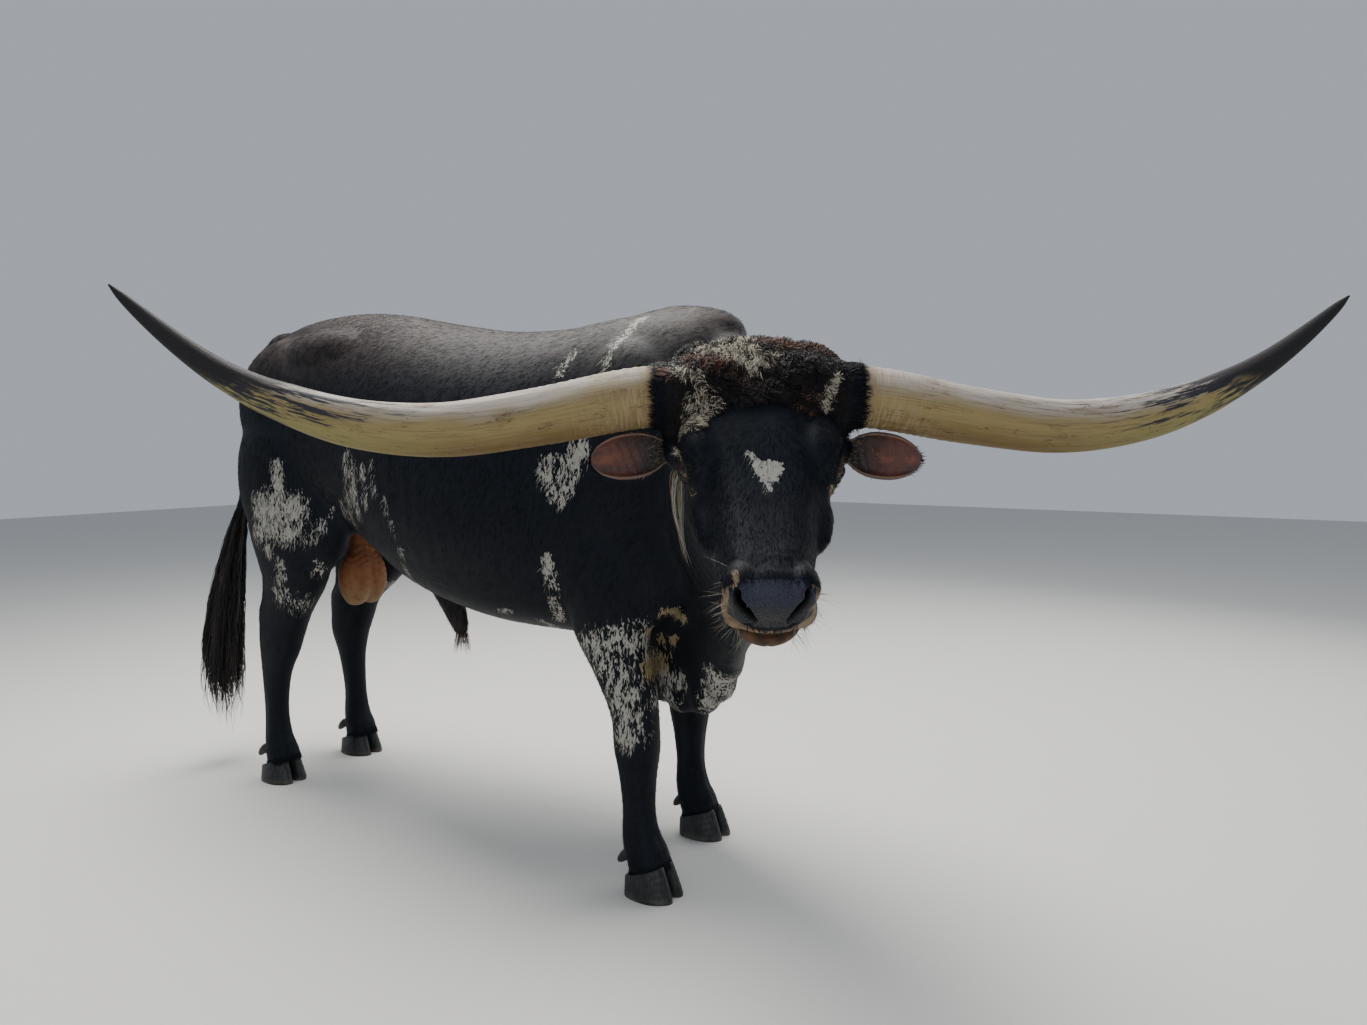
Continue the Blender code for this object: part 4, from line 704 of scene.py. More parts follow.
def markings(points):
    """White, tan and rust shares at the places, 0 to 1, and a fourth for brown hair: on the sheath, and on
    the top of the back and neck, where it is faded hair and painted sheen of light from above.
    """
    h = in_head(points)
    head = (on_skull(points) > 0.5) & (h[:, 2] > -0.048)
    white = np.where(head, field(h[:, :2], WHITE_HEAD), 0.72 * field(points, WHITE_HAIR))
    below_eye = np.hypot((np.abs(h[:, 0]) - 0.106) / 0.009, (h[:, 1] - 0.176) / 0.014)
    below_eye = 0.42 * on_skull(points) * (1.0 - ramp(below_eye, 0.3, 1.4)) * ramp(-h[:, 2], 0.02, 0.035)
    tan = np.maximum(field(points, TAN_HAIR), below_eye)
    rust = np.where(head, field(h[:, :2], RUST_HEAD), 0.0)
    # The top of the back and neck turns brown by height: faded hair and painted sheen of light from above
    brown_and_sheen = ramp(points[:, 2], 1.24, 1.43) * (1.0 - ramp(on_skull(points), 0.0, 1.0))
    on_sheath = (np.abs(points[:, 0] + 0.84) < 0.09) & (np.abs(points[:, 1]) < 0.07)
    brown_and_sheen = np.maximum(brown_and_sheen, 0.8 * on_sheath * ramp(-points[:, 2], -0.68, -0.6))
    return np.column_stack([white, tan, rust, brown_and_sheen])


# Half of the outline of the pale rim in u and w, with its half width, down the outside of the nostril
RIM_LINE = np.array([(0.056, -0.01, 0.0018), (0.062, -0.018, 0.003), (0.0665, -0.03, 0.005),
                     (0.0675, -0.046, 0.008), (0.065, -0.062, 0.012), (0.055, -0.079, 0.0145),
                     (0.026, -0.086, 0.0135), (0.0, -0.087, 0.013)])


def bare(points):
    """Shares of bare skin: nose plate, pale rim and lips, scrotum, and round the eyes."""
    u, v, w = in_head(points).T
    on = on_skull(points)
    front = on * ramp(v, 0.366, 0.388)
    top = 0.01 * ramp(np.abs(u), 0.035, 0.06)
    plate = on * ramp(v, 0.388, 0.4) * ramp(-w, top, top + 0.006)
    plate = plate * ramp(w, -0.071, -0.063) * (np.abs(u) < 0.062)
    rim = front * (1.0 - ramp(near_line(np.abs(u), w, RIM_LINE), 0.55, 1.35))
    chin = on * ramp(v, 0.372, 0.392) * ramp(-w, 0.094, 0.1)
    chin = chin * ramp(w, -0.146, -0.126) * ramp(-np.abs(u), -0.062, -0.046)
    patch = front * (1.0 - ramp(np.hypot(u + 0.053, w + 0.002), 0.003, 0.0095))
    rim = np.maximum.reduce([rim, chin, 0.85 * patch])
    x, y, z = points.T
    slim = np.hypot(x + 1.254, y) < np.interp(z, (0.7, 0.78), (0.12, 0.066))
    bag = slim * ramp(-z, -0.85, -0.815) * (z > 0.5)
    eye = np.linalg.norm(np.column_stack([np.abs(u), v, w]) - EYE_PLACE, axis=1)
    return np.column_stack([plate, rim, bag, on * (1.0 - ramp(eye, 0.026, 0.036))])


p = places(skin.data)
give(skin, "root", "FLOAT_VECTOR", p)
give(skin, "marks", "FLOAT_COLOR", markings(p))
give(skin, "flesh", "FLOAT_COLOR", bare(p))
h = in_head(p)
give(skin, "head_place", "FLOAT_VECTOR", h)
skull = on_skull(p)[:, None]
give(skin, "comb", "FLOAT_VECTOR", skull * h * (1.0, 0.22, 1.0) + (1.0 - skull) * p * (0.55, 1.0, 0.22))

BLACK_HAIR = (0.0043, 0.0051, 0.008)
# Brown of the sheath and switch hair, and of the top of the back, where it is partly painted sheen of light
# from above
BROWN_AND_SHEEN_HAIR = (0.056, 0.041, 0.034)
WHITE = (0.33, 0.315, 0.275)
TAN = (0.25, 0.195, 0.105)
RUST = (0.135, 0.06, 0.034)
# Size and strength of the coarse and of the fine flecks
COARSE_FLECKS, FINE_FLECKS = (58.0, 1.7), (165.0, 2.7)
HAIR_SHEEN = (0.8, 0.9, 1.0)


class Finish:
    """A material under construction: nodes by kind, joined by name of input."""

    def __init__(self, name):
        """A new material with its shader."""
        self.material = bpy.data.materials.new(name)
        self.material.use_nodes = True
        self.tree = self.material.node_tree
        self.shader = self.tree.nodes["Principled BSDF"]

    def feed(self, node, socket, value):
        """Set an input, or join it to another node's first output or to the given output."""
        target = node.inputs[int(socket[1:]) if socket[0] == "i" and socket[1:].isdigit() else socket]
        if isinstance(value, bpy.types.Node):
            value = value.outputs[0]
        if isinstance(value, bpy.types.NodeSocket):
            self.tree.links.new(value, target)
        elif isinstance(value, tuple) and len(value) == 3 and target.type == "RGBA":
            target.default_value = (*value, 1.0)
        else:
            target.default_value = value

    def node(self, kind, settings=None, **inputs):
        """A node of the kind with its settings; its inputs are named with _ for a space."""
        made = self.tree.nodes.new("ShaderNode" + kind)
        for key, value in (settings or {}).items():
            setattr(made, key, value)
        for key, value in inputs.items():
            self.feed(made, key.replace("_", " "), value)
        return made

    def surface(self, **inputs):
        """Set or join inputs of the shader."""
        for key, value in inputs.items():
            self.feed(self.shader, key.replace("_", " "), value)

    def attribute(self, name, output="Vector"):
        """What the mesh says at each point under the name."""
        return self.node("Attribute", {"attribute_name": name}).outputs[output]

    def parts(self, name):
        """The three numbers of a vector attribute."""
        return self.node("SeparateXYZ", Vector=self.attribute(name)).outputs

    def tones(self, name):
        """The red, green and blue of a colour attribute."""
        return self.node("SeparateColor", Color=self.attribute(name, "Color")).outputs

    def math(self, operation, a, b=0.0, clamp=False):
        """The operation on a and b; with clamp, the result is held between 0 and 1."""
        return self.node("Math", {"operation": operation, "use_clamp": clamp}, i0=a, i1=b)

    def around(self, noise, amount):
        """A noise less its middle, times the amount."""
        return self.math("MULTIPLY", self.math("SUBTRACT", noise, 0.5), amount)

    def swayed(self, value, noise, amount):
        """The value moved up and down by a noise round its middle."""
        return self.math("ADD", value, self.around(noise, amount))

    def step(self, value, low, high):
        """0 below low, 1 above high, smooth between."""
        smooth = {"interpolation_type": "SMOOTHSTEP"}
        return self.node("MapRange", smooth, Value=value, From_Min=low, From_Max=high)

    def stained(self, base, *stains):
        """The base under tints, one over another: a row is the tint and the shares whose product
        says how much of it there is."""
        for tint, share, *more in stains:
            for factor in more:
                share = self.math("MULTIPLY", share, factor)
            base = self.node("Mix", {"data_type": "RGBA"}, i0=share, i6=base, i7=tint).outputs[2]
        return base

    def noise(self, vector, scale, detail=2.0, roughness=0.6, stretch=None):
        """Fractal noise round 0.5 at the vector, which stretch scales along each axis."""
        if stretch is not None:
            vector = self.node("Mapping", Vector=vector, Scale=stretch)
        return self.node("TexNoise", Vector=vector, Scale=scale, Detail=detail, Roughness=roughness)

    def bump(self, height, distance, strength=1.0, **normal):
        """A normal tilted by the slope of the height, which counts as the distance."""
        return self.node("Bump", Height=height, Distance=distance, Strength=strength, **normal)


def dress(piece, look, slot, *nodes):
    """The piece gets its finish, rides on the one body, and stands for the nodes. The slot is not used."""
    piece.data.materials.append(look.material)
    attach(piece, "root")
    if nodes:
        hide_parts(*nodes)


def hair_colour(finish, loosened=None, dark=BLACK_HAIR, pale=WHITE):
    """Colour of the hair at a root: dark; brown on the sheath, and on the top of the back a faded brown that
    is partly painted sheen of light from above;
    and tan, rust and white where the field plus coarse and fine flecks passes the half."""
    place = finish.attribute("root")
    coarse = finish.noise(place, COARSE_FLECKS[0], 3.0, 0.6, (1.0, 1.0, 0.45))
    fine = finish.noise(place, FINE_FLECKS[0], 2.0, 0.6, (1.0, 1.0, 0.32))
    broken = finish.swayed(finish.around(coarse, COARSE_FLECKS[1]), fine, FINE_FLECKS[1])
    if loosened is not None:
        broken = finish.math("ADD", broken, loosened)
    white, tan, rust = finish.tones("marks")

    def passed(amount, edge):
        """How far the field with its flecks is past the edge, and that there is a field at all."""
        flecked = finish.math("ADD", amount, broken)
        return finish.step(amount, 0.02, 0.2), finish.step(flecked, edge, edge + 0.1)

    # Brown share: real on the sheath and switch, partly painted sheen on the top of the back
    brown_and_sheen = (BROWN_AND_SHEEN_HAIR, finish.attribute("marks", "Alpha"), finish.step(coarse, 0.2, 0.85))
    return finish.stained(dark, brown_and_sheen, (TAN, *passed(tan, 0.42)), (RUST, *passed(rust, 0.38)),
                          (pale, *passed(white, 0.48)))


hide = Finish("short_black_coat_over_hide")
step = hide.step
plate, rim, bag = hide.tones("flesh")
coordinates = hide.node("TexCoord").outputs["Object"]
streaks = hide.noise(hide.attribute("comb"), 330.0)
pebbles = hide.node("TexVoronoi", Vector=coordinates, Scale=560.0).outputs["Distance"]
grain = hide.noise(coordinates, 900.0)
patchy = hide.noise(coordinates, 45.0, 3.0)
speckle = hide.noise(coordinates, 420.0, 2.0, 0.7)
down_plate = hide.parts("head_place")[2]
# The upper part of the nose plate turns violet-blue: painted bluish sheen on the wet plate
sheen_on_upper_plate = step(hide.swayed(down_plate, patchy, 0.02), -0.038, -0.024)
plate_colour = hide.stained((0.026, 0.026, 0.027), ((0.06, 0.057, 0.047), step(speckle, 0.36, 0.66)),
                            ((0.036, 0.036, 0.054), sheen_on_upper_plate))
plate_colour = hide.stained((0.018, 0.018, 0.024), (plate_colour, step(pebbles, 0.8, 0.45)))
lip_colour = hide.stained((0.1, 0.052, 0.024), ((0.046, 0.026, 0.016), step(patchy, 0.4, 0.6)))
rim_colour = hide.stained((0.215, 0.15, 0.09), ((0.12, 0.08, 0.046), step(patchy, 0.38, 0.66)),
                          (lip_colour, step(hide.swayed(down_plate, patchy, 0.012), -0.096, -0.108)))
bag_height = hide.swayed(hide.parts("root")[2], patchy, 0.09)
bag_colour = hide.stained((0.215, 0.082, 0.036), ((0.185, 0.112, 0.052), step(bag_height, 0.7, 0.59)),
                          ((0.12, 0.052, 0.026), step(patchy, 0.4, 0.85)))
furred = hide.math("SUBTRACT", 1.0, hide.math("MAXIMUM", plate, bag), True)
hair_bump = hide.bump(hide.math("MULTIPLY", streaks, furred), 0.0012, 0.6)
skin_bump = hide.bump(hide.math("MULTIPLY", pebbles, plate), 0.0008, 0.5, Normal=hair_bump)
hide.surface(
    Base_Color=hide.stained(
        hair_colour(hide), ((0.014, 0.011, 0.011), hide.attribute("flesh", "Alpha")),
        (rim_colour, step(hide.swayed(rim, speckle, 0.7), 0.35, 0.7)),
        (plate_colour, step(hide.swayed(plate, speckle, 0.5), 0.4, 0.62)),
        (bag_colour, step(bag, 0.2, 0.8)),
        # Nostril pits nearly black: painted shade inside the nostrils
        ((0.003, 0.003, 0.004), step(hide.attribute("pit", "Fac"), 0.05, 0.75))),
    Normal=hide.bump(grain, 0.0003, 0.4, Normal=skin_bump),
    Roughness=hide.math("SUBTRACT", 0.6, hide.math("MULTIPLY", plate, 0.22)),
    Specular_IOR_Level=0.17, Specular_Tint=HAIR_SHEEN)
SKIN_NODES = ["torso", "neck", "dewlap", "head", "tail", "scrotum", "sheath"]
SKIN_NODES += [foot + part for foot in FEET for part in ("_upper", "_lower")]
dress(skin, hide, "hide", *SKIN_NODES)

# Horns
# Keratin sheaths, over a metre each: creamy grey above, olive yellow below, black at the tips,
# with growth rings near the skull and long fibres and hairline cracks along them. The lighter top
# and darker, olive underside follow how far the surface faces up: partly the horn's own colour,
# partly painted sunlight on top and painted shade with a greenish reflection beneath.
HORN_RADIUS = 0.0505
HORN_REACH = {"right": 1.04, "left": 1.022}
HORN_SWEEP = {"right": 0.07, "left": -0.04}
HORN_DROP = {"right": 0.056, "left": 0.049}
HORN_LEVEL_AGAIN = {"right": 0.735, "left": 0.7}
HORN_RISE = 0.175
HORN_GIRTH = [(0.0, 1.03), (0.12, 1.0), (0.25, 0.95), (0.42, 0.895), (0.52, 0.845), (0.62, 0.76),
              (0.71, 0.63), (0.79, 0.49), (0.86, 0.38), (0.92, 0.285), (0.975, 0.16), (1.0, 0.03)]
HORN_ROWS, HORN_SIDES = 190, 56


def horn_rows(name, count):
    """The axis droops by a half sine of share^1.36, is level again at the turn, then climbs with a
    little squared part; it sweeps with share^1.5. Rows of x, y, z, radius, and the share."""
    share, thick = curve_through(HORN_GIRTH, count).T
    turn = HORN_LEVEL_AGAIN[name]
    climb = np.maximum(0.0, (share - turn) / (1.0 - turn))
    droop = -HORN_DROP[name] * np.sin(np.pi * np.minimum(1.0, share / turn) ** 1.36)
    height = np.where(share < turn, droop, HORN_RISE * (0.6 * climb + 0.4 * climb * climb))
    outward = HORN_ROOT + share * (HORN_REACH[name] - HORN_ROOT)
    place = level_head(outward, HORN_SWEEP[name] * share ** 1.5, height, SIDES[name])
    return np.column_stack([place, HORN_RADIUS * thick]), share


horn_look = Finish("horn_keratin")
step, swayed = horn_look.step, horn_look.swayed
share, above, _ = horn_look.parts("along")
grain_place = horn_look.attribute("grain")
fibres = horn_look.noise(grain_place, 130.0, 4.0, 0.65, (1.0, 1.0, 0.022))
fine_fibres = horn_look.noise(grain_place, 420.0, 2.0, 0.6, (1.0, 1.0, 0.016))
clouds = horn_look.noise(grain_place, 11.0, 4.0, 0.6, (1.0, 1.0, 0.4))
stains = horn_look.noise(grain_place, 34.0, 4.0, 0.65, (1.0, 1.0, 0.3))
rings = horn_look.noise(grain_place, 330.0, 2.0, 0.6, (0.1, 0.1, 1.0))
cracks = horn_look.noise(grain_place, 62.0, 3.0, 0.6, (1.0, 1.0, 0.16))
# How far the surface faces up, with noise: it makes the top lighter and the underside darker, partly painted
# sunlight and shade
height = swayed(swayed(above, clouds, 1.1), fibres, 0.5)
off_line = horn_look.math("ABSOLUTE", horn_look.math("SUBTRACT", cracks, 0.5))
cracked = horn_look.math("MULTIPLY", step(off_line, 0.0075, 0.0015), step(stains, 0.44, 0.56))
worn = swayed(horn_look.math("ADD", share, horn_look.math("MULTIPLY", above, 0.095)), clouds, 0.24)
streaked = swayed(swayed(worn, fibres, 1.45), fine_fibres, 0.4)
fibre_bump = horn_look.bump(fibres, 0.0007, 0.55)
crack_bump = horn_look.bump(horn_look.math("SUBTRACT", 1.0, cracked), 0.0006, 0.6, Normal=fibre_bump)
# Cream on the upward-facing side, dark olive beneath: partly the horn's colour, partly painted light from
# above and shade below
horn_look.surface(
    Base_Color=horn_look.stained(
        (0.14, 0.092, 0.032), ((0.28, 0.21, 0.092), step(height, -0.95, -0.1)),
        ((0.4, 0.365, 0.33), step(height, 0.05, 0.8)), ((0.21, 0.138, 0.068), step(stains, 0.48, 0.7), 0.6),
        ((0.26, 0.25, 0.1), step(share, 0.3, 0.62), step(height, 0.3, -0.6), 0.6),
        ((0.2, 0.148, 0.082), step(fibres, 0.46, 0.66), 0.38),
        ((0.115, 0.085, 0.052), step(fine_fibres, 0.52, 0.66), 0.42),
        ((0.32, 0.24, 0.14), step(share, 0.22, 0.0), step(rings, 0.42, 0.62), 0.75),
        ((0.19, 0.13, 0.07), step(share, 0.045, 0.0), 0.85), ((0.03, 0.022, 0.014), cracked, 0.8),
        ((0.034, 0.034, 0.04), step(streaked, 0.655, 0.775)),
        ((0.022, 0.021, 0.022), step(worn, 0.71, 0.82))),
    Normal=horn_look.bump(fine_fibres, 0.00012, 0.5, Normal=crack_bump),
    Roughness=swayed(0.6, fibres, -0.3), Specular_IOR_Level=0.1,
    Subsurface_Weight=0.05, Subsurface_Radius=(0.01, 0.006, 0.003))


def give_rows(piece, name, rows):
    """Vector attribute of a closed piece: its rings' rows, and the first and last for the two ends."""
    rows = rows.reshape(-1, 3)
    give(piece, name, "FLOAT_VECTOR", np.vstack([rows, rows[0], rows[-1]]))


for name, side in SIDES.items():
    rows, reach = horn_rows(name, HORN_ROWS)
    rings = tube(rows, HORN_SIDES, guide=(0.0, 0.0, 1.0))
    out = unit(rings - rows[:, None, :3])
    turn = np.arctan2(out @ UP, np.einsum("ijk,k->ij", out, AHEAD))
    distance = reach[:, None] * (HORN_REACH[name] - HORN_ROOT)
    # Growth rings fade out a third of the way; flutes and dents wander along the horn
    ring_wave = np.sin(distance * 420.0 + 1.6 * np.sin(distance * 61.0) + 0.5 * np.sin(2.0 * turn))
    relief = 0.0007 * ring_wave * (1.0 - ramp(reach, 0.1, 0.34))[:, None]
    relief += 0.0007 * np.sin(5.0 * turn + 7.0 * distance) * (1.0 - reach[:, None])
    flutes = 0.0009 * np.sin(13.0 * turn + 3.0 * np.sin(9.0 * distance))
    relief += flutes * bell(reach, 0.45, 0.3)[:, None] * 0.5
    relief += 0.0012 * np.sin(distance * 23.0 + turn) * np.sin(distance * 9.0)
    rings = rings + out * (relief * np.minimum(1.0, rows[:, 3:] / 0.02))[..., None]
    piece = put("horn_surface_" + name, *closed(rings))
    # The grain of the left horn lies 2 m further on in the pattern, so that the two differ
    further = distance + 0 * turn + (2.0 if side > 0 else 0.0)
    give_rows(piece, "grain", np.stack([np.cos(turn) * rows[:, 3:], np.sin(turn) * rows[:, 3:], further], -1))
    give_rows(piece, "along", np.stack([reach[:, None] + 0 * turn, out @ UP, 0 * turn], -1))
    dress(piece, horn_look, "horn", "horn_" + name)

# Ears
# Leaf-shaped cups on a round stem, held out level and open forwards: black short hair outside,
# thin red-brown skin inside with a pale edge.
EAR_LENGTH = 0.146
EAR_PROFILE = [
    (0.0, 0.019, 0.019, 0.019), (0.14, 0.021, 0.0185, 0.018), (0.24, 0.03, 0.02, 0.009),
    (0.38, 0.038, 0.02, 0.006), (0.55, 0.04, 0.017, 0.0055), (0.72, 0.037, 0.013, 0.005),
    (0.88, 0.027, 0.008, 0.0045), (0.96, 0.016, 0.005, 0.004), (1.0, 0.006, 0.003, 0.003),
]
EAR_ROWS, EAR_COLUMNS = 44, 24
# In head coordinates, for the left ear: its root, the way that it points, and its open face
EAR_ROOT, EAR_REACH, EAR_FACE = (0.136, 0.058, -0.068), (0.985, 0.06, -0.12), (0.0, 0.72, 0.69)

ear_look = Finish("ear_skin_and_hair")
step = ear_look.step
inside, off_middle, out_share = ear_look.parts("lining")
ear_place = ear_look.node("TexCoord").outputs["Object"]
veins = ear_look.noise(ear_place, 38.0, 4.0, 0.7)
lining_colour = ear_look.stained(
    (0.105, 0.03, 0.02), ((0.05, 0.018, 0.014), step(veins, 0.38, 0.62)),
    ((0.19, 0.058, 0.024), step(off_middle, 0.55, 0.1), step(veins, 0.44, 0.6), 0.8),
    # Near black towards the root of the cup: painted shade deep in the ear
    ((0.01, 0.008, 0.008), step(out_share, 0.66, 0.26)),
    ((0.23, 0.13, 0.085), step(off_middle, 0.93, 0.99), 0.8))
ear_look.surface(
    Base_Color=ear_look.stained((0.01, 0.01, 0.013), (lining_colour, inside)),
    Normal=ear_look.bump(ear_look.noise(ear_place, 420.0, 2.0, 0.6, (1.0, 1.0, 0.35)), 0.0012, 0.6),
    Roughness=0.62, Subsurface_Weight=0.12, Subsurface_Radius=(0.008, 0.003, 0.002))


def ear_surface(side):
    """Rows along the ear; each row is the outer bow, across times t and back times the root of
    1 - t^2, then the inner bow nine tenths as wide and a wall less deep. Also the inner share,
    the distance from the middle line and the share of the length, for the finish."""
    mirror = np.array((side, 1.0, 1.0))
    root, reach, face = mirror * EAR_ROOT, unit(mirror * EAR_REACH), unit(np.array(EAR_FACE))
    face = unit(face - reach * (face @ reach))
    across = np.cross(reach, face)
    share, half, cup, wall = (column[:, None] for column in curve_through(EAR_PROFILE, EAR_ROWS).T)
    t = np.linspace(-1.0, 1.0, EAR_COLUMNS)[None, :]
    bend = np.sqrt(np.maximum(0.0, 1.0 - t * t))
    start = root + reach * (share * EAR_LENGTH)[..., None]
    curl = 0.0035 * ramp(np.abs(t), 0.72, 1.0) * ramp(share, 0.25, 0.45) * (1.0 - ramp(share, 0.8, 0.95))
    outer = start + across * (t * half)[..., None] - face * (cup * bend - curl)[..., None]
    ridge = 0.0016 * np.sin(share * 60.0 + 4.0 * t) * ramp(share, 0.15, 0.3) * bend
    ridge = ridge * (1.0 - ramp(share, 0.6, 0.9))
    inner = (start + across * (t * half * 0.9)[..., None]
             - face * ((cup - wall) * bend - wall * 0.45 - ridge - curl)[..., None])
    rings = on_head(np.concatenate([outer, inner[:, ::-1]], axis=1))
    off_middle = np.abs(t) + 0 * half
    inner_share = np.concatenate([0 * off_middle, 1 + 0 * off_middle], axis=1)
    off_middle = np.concatenate([off_middle, off_middle[:, ::-1]], axis=1)
    return rings, np.stack([inner_share, off_middle, share + 0 * off_middle], -1)


ears = {}
for name, side in SIDES.items():
    rings, info = ear_surface(side)
    ears[name] = piece = put("ear_surface_" + name, *closed(rings))
    give_rows(piece, "lining", info)
    dress(piece, ear_look, "hide", "ear_" + name)

# Eyes and lids
# Dark brown balls with a level oval pupil under a clear wet front; the lids lie on them, a thick
# wet edge, a crease over the upper one, and skin that runs out into the face.
EYE_RADIUS = 0.0205
EYE_LOOKS = (0.9, 0.1, 0.42)
SLIT_HALF_LENGTH, SLIT_HALF_HEIGHT = 0.019, 0.009
LID_SIDES = 56
# Half length of the lids along the slit, and how far they reach above and below it
LID_HALF_LENGTH, LID_ABOVE, LID_BELOW = 0.0325, 0.0255, 0.0225
# Share of the way out from the slit, and lift over the ball or over the straight line to the skin
LID_RINGS = [(0.0, -0.006), (0.0, -0.001), (0.0, 0.0006), (0.03, 0.0015), (0.08, 0.0021), (0.15, 0.002),
             (0.23, 0.0008), (0.31, 0.0003), (0.42, 0.0014), (0.58, 0.002), (0.75, 0.0012), (0.9, -0.0006),
             (1.0, -0.0034)]

eye_look = Finish("eye_dark_brown")
step = eye_look.step
wide, tall = (eye_look.math("MULTIPLY", part, part) for part in eye_look.parts("gaze")[:2])
radius = eye_look.math("SQRT", eye_look.math("ADD", wide, tall))
flat_radius = eye_look.math("SQRT", eye_look.math("ADD", eye_look.math("MULTIPLY", wide, 0.3), tall))
rays = eye_look.noise(eye_look.attribute("gaze"), 14.0, 3.0)
white = eye_look.stained((0.2, 0.12, 0.09), ((0.07, 0.04, 0.032), step(rays, 0.3, 0.8)))
eye_look.surface(
    Base_Color=eye_look.stained(
        (0.03, 0.012, 0.006), ((0.012, 0.006, 0.004), step(rays, 0.35, 0.7)),
        (white, step(radius, 0.66, 0.76)),
        ((0.003, 0.003, 0.004), step(flat_radius, 0.24, 0.2))),
    Roughness=0.3, Specular_IOR_Level=0.15, Coat_Weight=0.35, Coat_Roughness=0.05)

lid_look = Finish("lid_skin")
lid_place = lid_look.node("TexCoord").outputs["Object"]
lid_patch = lid_look.step(lid_look.noise(lid_place, 110.0), 0.4, 0.7)
lid_look.surface(Base_Color=lid_look.stained((0.01, 0.009, 0.01), ((0.026, 0.02, 0.019), lid_patch)),
                 Normal=lid_look.bump(lid_look.noise(lid_place, 700.0), 0.0006, 0.6),
                 Roughness=0.5, Specular_IOR_Level=0.3)


def eye_axes(side):
    """Centre of the eye, the way it looks, along the slit to the nose, and up across the slit."""
    centre = on_head(np.array(EYE_PLACE) * (side, 1.0, 1.0))
    looks = unit(np.array((side * EYE_LOOKS[0], *EYE_LOOKS[1:])) @ HEAD_AXES)
    along_slit = np.array((0.0, 0.98, 0.06)) @ HEAD_AXES
    along_slit = unit(along_slit - looks * (along_slit @ looks))
    above_slit = unit(np.cross(looks, along_slit))
    if above_slit @ (np.array((0.0, -0.5, 0.8)) @ HEAD_AXES) < 0.0:
        above_slit = -above_slit
    return centre, looks, along_slit, above_slit


tree = BVHTree.FromObject(skin, bpy.context.evaluated_depsgraph_get())
lid_edges = {}
for name, side in SIDES.items():
    centre, looks, along_slit, above_slit = eye_axes(side)
    axes = np.array((along_slit, above_slit, looks))
    round_ball = sphere(np.linspace(0.494, -0.494, 30) * np.pi, 48)
    bulge = np.exp(-(np.hypot(round_ball[..., 0], round_ball[..., 1]) / 0.55) ** 4) * (round_ball[..., 2] > 0)
    bulge = 1.0 + 0.03 * bulge
    piece = put("eyeball_" + name, *closed(centre + (round_ball * bulge[..., None] * EYE_RADIUS) @ axes))
    give(piece, "gaze", "FLOAT_VECTOR", np.vstack([round_ball.reshape(-1, 3), (0, 0, 1), (0, 0, -1)]))
    dress(piece, eye_look, "eye", "eye_" + name)

    # The skin behind the slit gives way, so that it doesn't cover the ball
    p = places(skin.data)
    local = (p - centre) @ axes.T
    inside = 1.0 - ramp(np.hypot(local[:, 0] / 0.0235, local[:, 1] / 0.0165), 0.8, 1.25)
    inside *= local[:, 2] > 0.0
    reshape(skin, p - (looks * 0.016) * inside[:, None])

    # Lids: rings from inside the slit, over its edge, through the crease and out under the skin
    turn = 2.0 * np.pi * np.arange(LID_SIDES) / LID_SIDES
    c, s = np.cos(turn), np.sin(turn)
    high = np.where(s > 0.0, 1.15, 0.85)
    slit_a = SLIT_HALF_LENGTH * np.sign(c) * np.abs(c) ** 0.9
    slit_b = SLIT_HALF_HEIGHT * high * np.sign(s) * np.abs(s) ** 1.15 - 0.0022 * c
    outer_a, outer_b = LID_HALF_LENGTH * c, np.where(s > 0.0, LID_ABOVE, LID_BELOW) * s
    hits = []
    for a, b in zip(outer_a, outer_b):
        start = centre + SHIFT + along_slit * a + above_slit * b + looks * 0.08
        hit = tree.ray_cast(Vector(start), Vector(-looks))
        hits.append(0.08 - hit[3] if hit[0] is not None else 0.0)
    outer_c = np.array(hits)
    upper = ramp(s, 0.05, 0.5)
    rings = []
    for out_share, lift in LID_RINGS:
        a = slit_a + (outer_a - slit_a) * out_share
        b = slit_b + (outer_b - slit_b) * out_share
        on_ball = np.sqrt(np.maximum(EYE_RADIUS ** 2 * 1.02 - a * a - b * b, 0.0))
        edge_c = np.sqrt(np.maximum(EYE_RADIUS ** 2 * 1.02 - slit_a ** 2 - slit_b ** 2, 0.0))
        straight = edge_c + (outer_c - edge_c) * ramp(out_share, 0.0, 1.0)
        depth = np.maximum(on_ball + 0.001, straight) if 0.0 < out_share < 0.5 else straight
        crease = -0.0014 * upper if 0.2 < out_share < 0.35 else 0.0
        rings.append(centre + np.column_stack([a, b, depth + lift + crease]) @ axes)
    rings.append(centre + np.column_stack([outer_a * 0.98, outer_b * 0.98, outer_c - 0.012]) @ axes)
    rings.append(centre + np.column_stack([slit_a, slit_b, edge_c - 0.012]) @ axes)
    rings = np.array(rings)
    count = len(rings)
    i, k = np.meshgrid(np.arange(count), np.arange(LID_SIDES), indexing="ij")
    here, there, after = i * LID_SIDES, (i + 1) % count * LID_SIDES, (k + 1) % LID_SIDES
    quads = np.stack([here + k, here + after, there + after, there + k], -1).reshape(-1, 4)
    faces = np.vstack([quads[:, [0, 1, 2]], quads[:, [0, 2, 3]]])
    points = rings.reshape(-1, 3)
    q = points[faces] - points.mean(axis=0)
    if np.einsum("ij,ij->i", q[:, 0], np.cross(q[:, 1], q[:, 2])).sum() < 0.0:
        faces = faces[:, ::-1]
    piece = put("eyelids_" + name, points, faces)
    dress(piece, lid_look, "hide")
    lid_edges[name] = (piece, rings[4], looks, along_slit, above_slit, centre)

